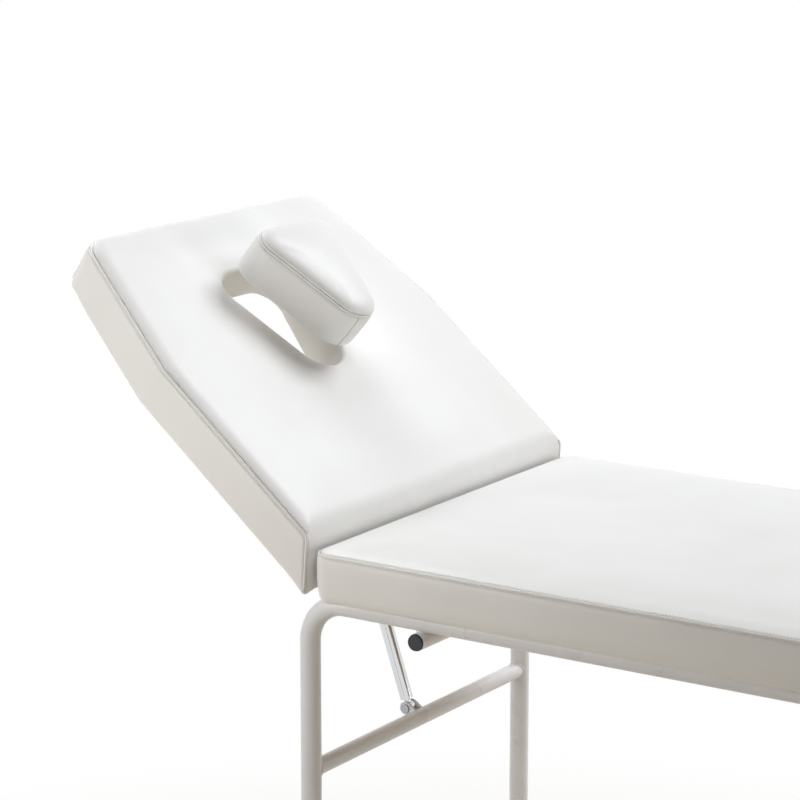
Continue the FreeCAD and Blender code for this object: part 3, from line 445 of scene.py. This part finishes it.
def pad_rings(outline_at, tuck, edge, piped, inner, cuts, dip=0.0, soft=None):
    """Rings of a pad from its board's pocket, round the side, over the seam and to the inner line.

    piped says for each point of the outline how far it has the piped edge, not the plain roll.
    soft says how far that roll is the soft one, and dip draws the cover down at the inner line.
    """
    soft = soft or [0.0] * len(piped)
    pocket = outline_at(BOARD_HEIGHT, BOARD_INSET - POCKET_GAP)
    middle = sum((Vector(p) for p in pocket), Vector((0, 0))) / len(pocket)
    rings = [at_height([middle.lerp(p, span) for p in pocket], POCKET_TOP) for span in POCKET_SPANS]
    rings.append(at_height(outline_at(0.0, BOARD_INSET - POCKET_GAP), UNDERSIDE))
    for height, inset in TURN_UNDER + tuck:
        rings.append(at_height(outline_at(height, inset), height))
    for levels in zip(edge, PLAIN_ROLL, SOFT_ROLL):
        seam, plain, gentle = [[Vector(p) for p in at_height(outline_at(*level), level[0])]
                               for level in levels]
        rolled = [p.lerp(q, share) for p, q, share in zip(plain, gentle, soft)]
        rings.append([p.lerp(q, share) for p, q, share in zip(rolled, seam, piped)])
    last = rings[-1]
    level = sum(p.z for p in last) / len(last)
    for k in range(1, cuts + 1):
        u = k / cuts
        lift = CROWN * (1 - (1 - u) ** 2) - dip * max(0, (u - DIP_START) / (1 - DIP_START)) ** 2
        flat = [p.xy.lerp(q, u) for p, q in zip(last, inner)]
        rings.append([(q.x, q.y, p.z + (level - p.z) * u + lift) for p, q in zip(last, flat)])
    return rings


def close_skin(piece):
    """Join rings that lie on each other and turn the faces outwards."""
    activate(piece)
    bpy.ops.object.mode_set(mode="EDIT")
    bpy.ops.mesh.select_all(action="SELECT")
    bpy.ops.mesh.remove_doubles(threshold=1e-6)
    bpy.ops.mesh.normals_make_consistent(inside=False)
    bpy.ops.object.mode_set(mode="OBJECT")


def evened(mesh, steps, fixed, rounds):
    """Spread each point's swelling over its neighbours, so that no crease follows the rings."""
    for _ in range(rounds):
        sums, counts = [Vector() for _ in steps], [0] * len(steps)
        for a, b in (edge.vertices for edge in mesh.edges):
            sums[a] += steps[b]
            sums[b] += steps[a]
            counts[a] += 1
            counts[b] += 1
        steps = [step if k in fixed else step.lerp(sums[k] / counts[k], EVENING)
                 for k, step in enumerate(steps)]
    return steps


def stuff(piece, held, cap, rounds=8, pressure=4.0):
    """Blow the cover out from its filling by cloth simulation, held at its seams and its board."""
    start = [vertex.co.copy() for vertex in piece.data.vertices]
    group = piece.vertex_groups.new(name="sewn")
    group.add([v.index for v in piece.data.vertices if held(v.co)], 1.0, "REPLACE")
    cloth = piece.modifiers.new("stuffing", "CLOTH")
    cloth.settings.use_pressure = True
    cloth.settings.uniform_pressure_force = pressure
    cloth.settings.vertex_group_mass = group.name
    cloth.settings.effector_weights.gravity = 0
    cloth.settings.quality = CLOTH_QUALITY
    for number in range(1, CLOTH_FRAMES + 1):
        bpy.context.scene.frame_set(number)
    activate(piece)
    bpy.ops.object.modifier_apply(modifier=cloth.name)
    steps = [vertex.co - before for vertex, before in zip(piece.data.vertices, start)]
    most = max(step.length for step in steps)
    print(piece.name, "swelled", round(most * 1000, 2), "mm before the cap")
    steps = [step.normalized() * cap * math.tanh(step.length / cap) for step in steps]
    sewn_points = {v.index for v in piece.data.vertices if held(start[v.index])}
    for vertex, step in zip(piece.data.vertices, evened(piece.data, steps, sewn_points, rounds)):
        vertex.co = start[vertex.index] + step
    bpy.context.scene.frame_set(1)
    piece.vertex_groups.clear()


def fold_corners(piece, corners, step, reach):
    """Move the cover by a step at its lower corners, where its folds lie over each other."""
    for vertex in piece.data.vertices:
        for corner in corners:
            share = math.exp(-((vertex.co - Vector(corner)).length / reach) ** 2)
            vertex.co += share * Vector(step)


def gather(piece, line, depth=0.0006, reach=0.018):
    """Small gathers in the cover beside a seam, where the stitches pull it."""
    seam = kdtree.KDTree(len(line))
    for k, spot in enumerate(line):
        seam.insert(spot, k)
    seam.balance()
    moves = []
    for vertex in piece.data.vertices:
        away = seam.find(vertex.co)[2] / reach
        ripple = noise.noise(vertex.co * per_metre(GATHER_SIZE))
        moves.append(vertex.normal * depth * math.exp(-away * away) * ripple)
    for vertex, move in zip(piece.data.vertices, moves):
        vertex.co += move


def smooth_skin(piece):
    """Smooth shading over one more level of faces."""
    activate(piece)
    bpy.ops.object.shade_smooth()
    finer = piece.modifiers.new("finer", "SUBSURF")
    finer.levels = finer.render_levels = 1
    bpy.ops.object.modifier_apply(modifier=finer.name)


def line_object(name, line, closed):
    """A curve object through the points of a seam."""
    data = bpy.data.curves.new(name, "CURVE")
    data.dimensions = "3D"
    data.twist_mode = "Z_UP"
    spline = data.splines.new("POLY")
    spline.points.add(len(line) - 1)
    for point, spot in zip(spline.points, line):
        point.co = (*spot, 1)
    spline.use_cyclic_u = closed
    route = bpy.data.objects.new(name, data)
    bpy.context.collection.objects.link(route)
    return route


def piping(name, line, body, place, closed=True, knots=()):
    """The covered cord in a seam; at its knots the cover is bunched round it."""
    cord = line_object(name, line, closed)
    cord.data.bevel_depth = PIPING_RADIUS
    cord.data.bevel_resolution = 2
    cord.data.use_fill_caps = not closed
    for knot in knots:
        cord.data.splines[0].points[knot].radius = KNOT
    activate(cord)
    bpy.ops.object.convert(target="MESH")
    cord = bpy.context.object
    close_skin(cord)
    bpy.ops.object.shade_smooth()
    finish_piece(cord, WHITE_VINYL, body, place)


def repeat_along(piece, line, pitch, closed=True):
    """Repeat a small shape along a line, one every pitch."""
    route = line_object("route", line, closed)
    activate(piece)
    repeat = piece.modifiers.new("repeat", "ARRAY")
    repeat.fit_type = "FIT_CURVE"
    repeat.curve = route
    repeat.use_relative_offset = False
    repeat.use_constant_offset = True
    repeat.constant_offset_displace = (pitch, 0, 0)
    follow = piece.modifiers.new("follow", "CURVE")
    follow.object = route
    for modifier in (repeat, follow):
        bpy.ops.object.modifier_apply(modifier=modifier.name)
    bpy.data.objects.remove(route)


# Thread is drawn 1 mm thick so that it shows
STITCH_LENGTH, STITCH_THICKNESS, STITCH_PITCH = 0.0036, 0.0009, 0.0050


def stitch_row(name, line, body, place, closed=True):
    """Stitches of one seam: one stitch, repeated along the line."""
    bpy.ops.object.select_all(action="DESELECT")
    bpy.ops.mesh.primitive_uv_sphere_add(segments=6, ring_count=4, radius=0.5)
    row = bpy.context.object
    row.name = row.data.name = name
    bpy.ops.object.mode_set(mode="EDIT")
    bpy.ops.transform.resize(value=(STITCH_LENGTH, STITCH_THICKNESS, STITCH_THICKNESS))
    bpy.ops.object.mode_set(mode="OBJECT")
    repeat_along(row, line, STITCH_PITCH, closed)
    bpy.ops.object.shade_smooth()
    finish_piece(row, STITCH_THREAD, body, place)


def sewn(p):
    """Points that the seam, the board or the staples hold."""
    return p.z < STAPLED_BELOW or SEAM_START < p.z < SEAM_END or abs(p.z - POCKET_TOP) < 1e-4


# Seat pad
SEAT_STEPS, SEAT_RUNS, SEAT_CUTS = [6] * 4, [121, 67, 121, 67], 24
SEAT_CORNER = 0.027
SEAT_SWELL = 0.006
SEAT_FOLD, SEAT_FOLD_REACH, SEAT_FOLD_INSET = (0, 0, -0.0035), 0.024, 0.008
# Where the rings of the seat's top end: a narrow strip this far from the pad's ends
STRIP_INSET, STRIP_HALF, STRIP_CORNER = 0.34, 0.01, 0.009


def seat_ring(corners, radius, inset):
    """A four-cornered outline with the seat's count of points."""
    return rounded_outline(corners, [radius] * 4, SEAT_STEPS, SEAT_RUNS, inset)


def rectangle(inset, half):
    """Corners of a rectangle along the seat, set in from both of its ends."""
    low, high = inset, SEAT_LENGTH - inset
    return [Vector(corner) for corner in ((high, half), (low, half), (low, -half), (high, -half))]


def seat_outline(height, inset):
    """The seat's outline, which is the same at every height."""
    return seat_ring(rectangle(0, HALF_WIDTH), SEAT_CORNER, inset)


seat_inner = seat_ring(rectangle(STRIP_INSET, STRIP_HALF), STRIP_CORNER, 0)
seat_seam = at_height(seat_outline(*PIPING), PIPING[0])
seat_rings = pad_rings(seat_outline, SEAT_TUCK, PIPED_EDGE, [1.0] * len(seat_inner), seat_inner,
                       SEAT_CUTS)
seat_pad = pad_mesh("seat_pad", seat_rings)
close_skin(seat_pad)
seat_folds = [(x, y, 0) for x in (SEAT_FOLD_INSET, SEAT_LENGTH - SEAT_FOLD_INSET)
              for y in (-HALF_WIDTH + SEAT_FOLD_INSET, HALF_WIDTH - SEAT_FOLD_INSET)]
fold_corners(seat_pad, seat_folds, SEAT_FOLD, SEAT_FOLD_REACH)
stuff(seat_pad, sewn, SEAT_SWELL)
gather(seat_pad, seat_seam)
smooth_skin(seat_pad)
finish_piece(seat_pad, WHITE_VINYL, "base", SEAT_PLACE)
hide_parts("seat_cover", "seat_foam")
piping("seat_piping", seat_seam, "base", SEAT_PLACE)
stitch_row("seat_stitches", at_height(seat_outline(*STITCHES), STITCHES[0]), "base", SEAT_PLACE)

# Backrest pad: its cover runs over both ends in one piece, and a piped panel closes each side
BACK_RADII = [0.008, 0.030, 0.042, 0.042, 0.030, 0.008]
BACK_STEPS = [4, 2, 8, 8, 2, 4]
BACK_RUNS = [39, 27, 65, 27, 39, 85]
BACK_CUTS = 22
BACK_SWELL, BACK_ROUNDS = 0.006, 30
FOOT_CORNERS, HEAD_CORNERS = (0, 5), (2, 3)
FOOT_FOLD, FOOT_FOLD_REACH = (0.0030, 0, -0.0035), 0.020
HEAD_FOLD, HEAD_FOLD_REACH = (0.0020, 0, -0.0070), 0.018
HEAD_PLEAT, PLEAT_REACH, PLEAT_HEIGHT = Vector((0.0035, 0.0070)), 0.05, 0.060
PLEAT_EDGE = BOARD_INSET - 0.002     # levels further in than this are flat on the board
GROOVE, GROOVE_LOW = 0.0028, 0.004
FOOT_DROP, HEAD_DROP = -0.0004, 0.0012     # insets of the cords at the panels' ends
DROP_HEIGHTS = (0.0640, 0.0560, 0.0420, 0.0280, 0.0140, 0.0020)
END_FACING, FACING_SPAN = 0.30, 0.25     # from facing an end to facing a side, as a direction's x
# The face opening's rim: where the top's rings end, how far they dip, and what the lining holds
RIM_START, RIM_DIP = 0.016, 0.0045
RIM_HOLD, RIM_HOLD_REACH, RIM_HOLD_COUNT = 0.012, 0.013, 90
END_HOLD_REACH, END_HOLD_PITCH, END_HOLD_COUNT = 0.006, 0.004, 15
LINING = 0.0017


def back_corners(height):
    """Corners of the backrest at a height: its foot end is bevelled, its head is tapered."""
    low = BACK_START + (PAD_HEIGHT - min(height, PAD_HEIGHT)) * math.tan(BACK_BEVEL)
    far = [Vector((low, HALF_WIDTH)), Vector((BACK_START - BACK_KINK, HALF_WIDTH)),
           Vector((BACK_HEAD, HALF_WIDTH - BACK_TAPER))]
    return far + [Vector((p.x, -p.y)) for p in reversed(far)]


def drawn_in(spot, height):
    """The cover is drawn in under the corners of the head, where it is pleated round the board."""
    corner = Vector((BACK_HEAD, math.copysign(HALF_WIDTH - BACK_TAPER, spot.y)))
    near = math.exp(-((spot - corner).length / PLEAT_REACH) ** 2)
    share = near * max(0.0, 1 - height / PLEAT_HEIGHT)
    return spot + share * Vector((HEAD_PLEAT.x, -math.copysign(HEAD_PLEAT.y, spot.y)))


def corner_line(corner, height, inset):
    """The middle of a rounded corner of the backrest, where the side panel is sewn to the end."""
    arc = rounded_arcs(back_corners(height), BACK_RADII, BACK_STEPS, inset)[corner]
    return arc[len(arc) // 2]


def back_outline(height, inset):
    """The backrest's outline, drawn in to a groove at each end seam of the foot."""
    outline = rounded_outline(back_corners(height), BACK_RADII, BACK_STEPS, BACK_RUNS, inset)
    if GROOVE_LOW < height < SEAM_START and inset < GROOVE:
        for corner in FOOT_CORNERS:
            seam = corner_line(corner, height, inset)
            number = min(range(len(outline)), key=lambda k: (outline[k] - seam).length)
            outline[number] = seam + GROOVE * Vector((-1, -math.copysign(1, seam.y))).normalized()
    return [drawn_in(spot, height) for spot in outline] if inset < PLEAT_EDGE else outline


def sideways(line):
    """How far each point of an outline faces to the side rather than to an end, from 0 to 1."""
    shares = []
    for k in range(len(line)):
        along = line[(k + 1) % len(line)] - line[k - 1]
        shares.append(min(1.0, max(0.0, (abs(along.normalized().x) - END_FACING) / FACING_SPAN)))
    return shares


back_edge = back_outline(*PIPING)
BACK_COUNT = len(back_edge)
# From the rim down the opening and round the lining's edge: height, distance outside the opening
RIM_PROFILE = [(0.0729, 0.0105), (0.0718, 0.0056), (0.0696, 0.0022), (0.0660, 0.0005),
               (0.0600, 0.0000), (0.0480, 0.0000), (0.0320, 0.0000), (0.0160, 0.0000),
               (0.0000, 0.0000), (0.0000, LINING), (POCKET_TOP, LINING)]
back_rings = pad_rings(back_outline, BACK_TUCK, PIPED_EDGE, sideways(back_edge),
                       opening_outline(RIM_START, BACK_COUNT), BACK_CUTS, dip=RIM_DIP,
                       soft=[1.0 if spot.x > BACK_START - BACK_KINK else 0.0 for spot in back_edge])
rim_rings = [at_height(opening_outline(grow, BACK_COUNT), z) for z, grow in RIM_PROFILE]
# The opening goes through, so the pocket's floor starts at the rim and not at its middle
back_rings = back_rings[2:] + rim_rings
back_pad = pad_mesh("backrest_pad", back_rings + back_rings[:1], filled=False)
close_skin(back_pad)
foot_folds = [(*back_corners(0)[corner], 0) for corner in FOOT_CORNERS]
fold_corners(back_pad, foot_folds, FOOT_FOLD, FOOT_FOLD_REACH)
head_folds = [(*drawn_in(corner_line(corner, 0, 0), 0), 0) for corner in HEAD_CORNERS]
fold_corners(back_pad, head_folds, HEAD_FOLD, HEAD_FOLD_REACH)
rim_line = opening_outline(RIM_HOLD, RIM_HOLD_COUNT)
end_seams = [Vector((*corner_line(corner, z, 0), z)) for corner in FOOT_CORNERS
             for z in (END_HOLD_PITCH * k for k in range(1, END_HOLD_COUNT + 1))]


def sewn_or_lined(p):
    """The lining of the face opening holds its rim too, and the end seams hold the foot corners."""
    return (sewn(p) or min((p.xy - q).length for q in rim_line) < RIM_HOLD_REACH
            or min((p - q).length for q in end_seams) < END_HOLD_REACH)


stuff(back_pad, sewn_or_lined, BACK_SWELL, BACK_ROUNDS)
gather(back_pad, at_height(back_edge, PIPING[0]))
smooth_skin(back_pad)
finish_piece(back_pad, WHITE_VINYL, "backrest", BACK_PAD_PLACE)
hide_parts("backrest_cover", "backrest_foam", "face_opening_lining")


def side_seam(height, inset, first, last):
    """The seam of a side panel between two corners of the backrest, by their numbers."""
    arcs = rounded_arcs(back_corners(height), BACK_RADII, BACK_STEPS, inset)
    line = []
    for number in range(first, last + 1):
        arc = arcs[number]
        half = len(arc) // 2
        line += arc[half:] if number == first else arc[:half + 1] if number == last else arc
    return at_height(line, height)


def corner_drop(corner, inset):
    """A side panel's end seam at a corner of the backrest, from the top down."""
    drop = []
    for height in DROP_HEIGHTS:
        drop += at_height([drawn_in(corner_line(corner, height, inset), height)], height)
    return drop


for side, first, last in (("far", 0, 2), ("near", 3, 5)):
    top = side_seam(*PIPING, first, last)
    down_first, down_last = [corner_drop(corner, FOOT_DROP if corner in FOOT_CORNERS else HEAD_DROP)
                             for corner in (first, last)]
    seam = down_first[::-1] + top + down_last
    # The cover is bunched at the foot: at the top corner and at the cord's lower end
    top_start, top_end = len(down_first), len(down_first) + len(top) - 1
    foot_knots = (top_start, 0) if first in FOOT_CORNERS else (top_end, len(seam) - 1)
    piping("backrest_piping_" + side, seam, "backrest", BACK_PAD_PLACE, False, foot_knots)
    stitches = side_seam(*STITCHES, first, last)
    stitch_row("backrest_stitches_" + side, stitches, "backrest", BACK_PAD_PLACE, False)

# Plug of the face opening
PLUG_COUNT, PLUG_CUTS = 140, 10
PLUG_SWELL = 0.004
# Where the rings of the plug's top end: the edge's last line, shrunk towards a middle point
PLUG_MIDDLE, PLUG_INNER_INSET, PLUG_INNER_SHARE = 0.095, 0.0225, 0.12
PLUG_JOINT = -4     # where the side strip's ends are joined, in points from the foot's middle
JOINT_LEVELS = ((0.0030, 0.0006), (0.0180, 0.0000), (0.0340, 0.0000), (0.0500, 0.0000),
                (0.0630, 0.0008))


def plug_outline(height, inset):
    """The plug's outline, which is the opening's less the gap at every height."""
    return opening_outline(-PLUG_GAP - inset, PLUG_COUNT)


plug_centre = Vector((BACK_HEAD + HOLE_MARGIN + PLUG_MIDDLE, 0))
plug_inner = [plug_centre.lerp(p, PLUG_INNER_SHARE)
              for p in plug_outline(PAD_HEIGHT, PLUG_INNER_INSET)]
plug_seam = at_height(plug_outline(*PLUG_PIPING), PLUG_PIPING[0])
plug_rings = pad_rings(plug_outline, PLUG_TUCK, PLUG_EDGE, [1.0] * PLUG_COUNT, plug_inner,
                       PLUG_CUTS)
plug_pad = pad_mesh("face_plug_pad", plug_rings)
close_skin(plug_pad)
stuff(plug_pad, sewn, PLUG_SWELL)
gather(plug_pad, plug_seam)
smooth_skin(plug_pad)
finish_piece(plug_pad, WHITE_VINYL, "plug", PLUG_PLACE)
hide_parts("plug_cover", "plug_foam")
piping("face_plug_piping", plug_seam, "plug", PLUG_PLACE)
joint = [(*plug_outline(height, inset)[PLUG_JOINT], height) for height, inset in JOINT_LEVELS]
piping("face_plug_joint", joint, "plug", PLUG_PLACE, False)

# Welds of the frame
WELD_RADIUS = 0.0021
WELD_PULSE = 0.0016
WELD_THICK, WELD_THIN = 1.12, 0.9     # times the bead's radius, in turn
CROSS_WELD = 0.007
PIN_WELD, PIN_ROOT = 0.0068, 0.2764
# The tabs' beads: beside the rail's crown, below the tab, and short of its ends
TAB_WELD_ASIDE, TAB_WELD_BELOW, TAB_WELD_SHORT = 0.0070, 0.0012, 0.003
TURN_STEPS = 48


def weld(path, closed):
    """A weld bead along a path; its ripples are the pulses of the torch."""
    length = sum((b - a).length for a, b in zip(path, path[1:]))
    count = max(8, 2 * round(length / WELD_PULSE / 2))
    if closed:
        spaced = even_points(path, count)
    else:
        spaced = [path[0].lerp(path[-1], k / (count - 1)) for k in range(count)]
    bead = line_object("weld", spaced, closed)
    bead.data.bevel_depth = WELD_RADIUS
    bead.data.bevel_resolution = 2
    bead.data.use_fill_caps = not closed
    for k, point in enumerate(bead.data.splines[0].points):
        point.radius = WELD_THICK if k % 2 else WELD_THIN
    activate(bead)
    bpy.ops.object.convert(target="MESH")
    close_skin(bpy.context.object)
    bpy.ops.object.shade_smooth()
    return bpy.context.object


def turns():
    """Cosines and sines once round a circle."""
    angles = [2 * math.pi * k / TURN_STEPS for k in range(TURN_STEPS)]
    return [(math.cos(angle), math.sin(angle)) for angle in angles]


def tube_middle(node):
    """The middle of a tube that lies across the bed, and its radius."""
    low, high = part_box(node)
    return (low + high) / 2, (high.z - low.z) / 2


rail_low, rail_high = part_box("side_frame_far")
TUBE_RADIUS, TUBE_Y = (rail_high.y - rail_low.y) / 2, (rail_high.y + rail_low.y) / 2
RAIL_Z = rail_high.z - TUBE_RADIUS
beads = []
for stretcher in ("stretcher_head", "stretcher_foot"):
    middle, radius = tube_middle(stretcher)
    for side in (-1, 1):
        saddle = []
        for c, s in turns():
            inward = math.sqrt(TUBE_RADIUS ** 2 - (radius * c) ** 2)
            saddle.append(Vector((middle.x + radius * c, side * (TUBE_Y - inward),
                                  middle.z + radius * s)))
        beads.append(weld(saddle, True))
for cross_tube in ("cross_tube_head", "cross_tube_foot"):
    middle, radius = tube_middle(cross_tube)
    for side in (-1, 1):
        ring = []
        for c, s in turns():
            above = RAIL_Z - math.sqrt(TUBE_RADIUS ** 2 - (CROSS_WELD * s) ** 2)
            below = middle.z + math.sqrt(radius ** 2 - (CROSS_WELD * c) ** 2)
            ring.append(Vector((middle.x + CROSS_WELD * c, side * TUBE_Y + CROSS_WELD * s,
                                (above + below) / 2)))
        beads.append(weld(ring, True))
for side in (-1, 1):
    root = [Vector((HINGE.x + PIN_WELD * c, side * PIN_ROOT, HINGE.z + PIN_WELD * s))
            for c, s in turns()]
    beads.append(weld(root, True))
    for number in (1, 2, 3):
        low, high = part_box("seat_tab_%s_%d" % ("near" if side < 0 else "far", number))
        for aside in (-TAB_WELD_ASIDE, TAB_WELD_ASIDE):
            ends = [Vector((x, side * TUBE_Y + aside, low.z - TAB_WELD_BELOW))
                    for x in (low.x + TAB_WELD_SHORT, high.x - TAB_WELD_SHORT)]
            beads.append(weld(ends, False))
bpy.ops.object.select_all(action="DESELECT")
for bead in beads:
    bead.select_set(True)
bpy.context.view_layer.objects.active = beads[0]
bpy.ops.object.join()
beads[0].name = beads[0].data.name = "frame_welds"
finish_piece(beads[0], FINISHES["frame_paint"], "base", Matrix())

# Staples that hold the covers' edges under the boards
STAPLES = (-0.0013, 0.0345)     # their line, as a level
STAPLE_WIRE = [(-0.005, 0, 0.0020), (-0.005, 0, -0.0003), (-0.0047, 0, -0.0006),
               (0.0047, 0, -0.0006), (0.005, 0, -0.0003), (0.005, 0, 0.0020)]
STAPLE_RADIUS, STAPLE_PITCH = 0.0006, 0.045


def staple_row(name, line, body, place):
    """Staples along a line: one bent wire, repeated."""
    row = line_object(name, STAPLE_WIRE, False)
    row.data.bevel_depth = STAPLE_RADIUS
    row.data.bevel_resolution = 1
    row.data.use_fill_caps = True
    activate(row)
    bpy.ops.object.convert(target="MESH")
    row = bpy.context.object
    close_skin(row)
    repeat_along(row, line, STAPLE_PITCH)
    bpy.ops.object.shade_smooth()
    finish_piece(row, FINISHES["zinc_steel"], body, place)


seat_edge = at_height(seat_outline(*STAPLES), STAPLES[0])
staple_row("seat_staples", seat_edge, "base", SEAT_PLACE)
cover_edge = at_height(back_outline(*STAPLES), STAPLES[0])
staple_row("backrest_staples", cover_edge, "backrest", BACK_PAD_PLACE)

# Floor, world and lamps
FLOOR_SIZE = 40
SHADOW_MIDDLE = (0.0, 0.55, 0.0)     # brings the paper back to the middle of the bed's shadow
SHADOW_FULL, SHADOW_END = 0.5, 1.7     # distances from that middle between which the shadow fades
SHADOW_GLOW = 0.5     # how far the paper glows where the shadow is full


def seen_rays(tree):
    """1 for the rays of the camera and for mirrored rays, 0 for all others."""
    rays = add_node(tree, "ShaderNodeLightPath")
    either = add_node(tree, "ShaderNodeMath", {"operation": "MAXIMUM"},
                      {0: rays.outputs["Is Camera Ray"], 1: rays.outputs["Is Glossy Ray"]})
    return either.outputs[0]


bpy.ops.object.select_all(action="DESELECT")
bpy.ops.mesh.primitive_plane_add(size=FLOOR_SIZE, location=(0, 0, 0))
floor = bpy.context.object
floor.name = "floor"
paper = bpy.data.materials.new("studio_paper")
paper.use_nodes = True
tree = paper.node_tree
shader = tree.nodes["Principled BSDF"]
shader.inputs["Base Color"].default_value = linear("D3CABA")
shader.inputs["Roughness"].default_value = 0.9
seen = seen_rays(tree)
place = add_node(tree, "ShaderNodeTexCoord").outputs["Object"]
moved = add_node(tree, "ShaderNodeMapping", (), {"Vector": place}, Location=SHADOW_MIDDLE)
distance = add_node(tree, "ShaderNodeVectorMath", {"operation": "LENGTH"},
                    {0: moved.outputs["Vector"]})
fade = add_node(tree, "ShaderNodeMapRange", {"interpolation_type": "SMOOTHSTEP"},
                {"Value": distance.outputs["Value"]}, From_Min=SHADOW_FULL, From_Max=SHADOW_END,
                To_Min=SHADOW_GLOW, To_Max=1.0)
share = add_node(tree, "ShaderNodeMath", {"operation": "MULTIPLY"},
                 {0: seen, 1: fade.outputs["Result"]})
glow = add_node(tree, "ShaderNodeEmission", Color=(1, 1, 1, 1), Strength=1.0)
blend = add_node(tree, "ShaderNodeMixShader", (),
                 {0: share.outputs[0], 1: shader.outputs[0], 2: glow.outputs[0]})
tree.links.new(blend.outputs[0], tree.nodes["Material Output"].inputs["Surface"])
floor.data.materials.append(paper)

world = bpy.data.worlds.new("studio")
bpy.context.scene.world = world
world.use_nodes = True
tree = world.node_tree
ambient = tree.nodes["Background"]
ambient.inputs["Color"].default_value = linear("FFE4C0")
ambient.inputs["Strength"].default_value = 0.07
backdrop = add_node(tree, "ShaderNodeBackground", Color=(1, 1, 1, 1), Strength=1.0)
blend = add_node(tree, "ShaderNodeMixShader", (),
                 {0: seen_rays(tree), 1: ambient.outputs[0], 2: backdrop.outputs[0]})
tree.links.new(blend.outputs[0], tree.nodes["World Output"].inputs["Surface"])


def lamp(name, spot, aim, size, power, colour="FFFFFF"):
    """A square area lamp at a spot, turned to its aim."""
    light = bpy.data.objects.new(name, bpy.data.lights.new(name, "AREA"))
    light.data.color = linear(colour)[:3]
    light.data.size = size
    light.data.energy = power
    light.location = spot
    light.rotation_euler = (Vector(aim) - Vector(spot)).to_track_quat("-Z", "Y").to_euler()
    bpy.context.collection.objects.link(light)


lamp("overhead_softbox", (1.9, 4.1, 6.0), (-0.3, 0, 0.8), 3.0, 345, "F6FAFF")
lamp("head_fill", (-0.95, -1.55, 0.95), (-0.4, -0.3, 0.75), 0.8, 8)
lamp("head_low", (-2.0, -1.5, 1.6), (-0.6, -0.2, 0.95), 1.0, 7)
lamp("head_rim", (-2.2, 0.5, 3.6), (-0.5, 0, 0.8), 1.2, 46, "F6FAFF")
lamp("foot_window", (5.0, 0.8, 1.3), (-0.3, 0, 0.8), 2.0, 55)

bpy.context.scene.view_settings.view_transform = "Standard"
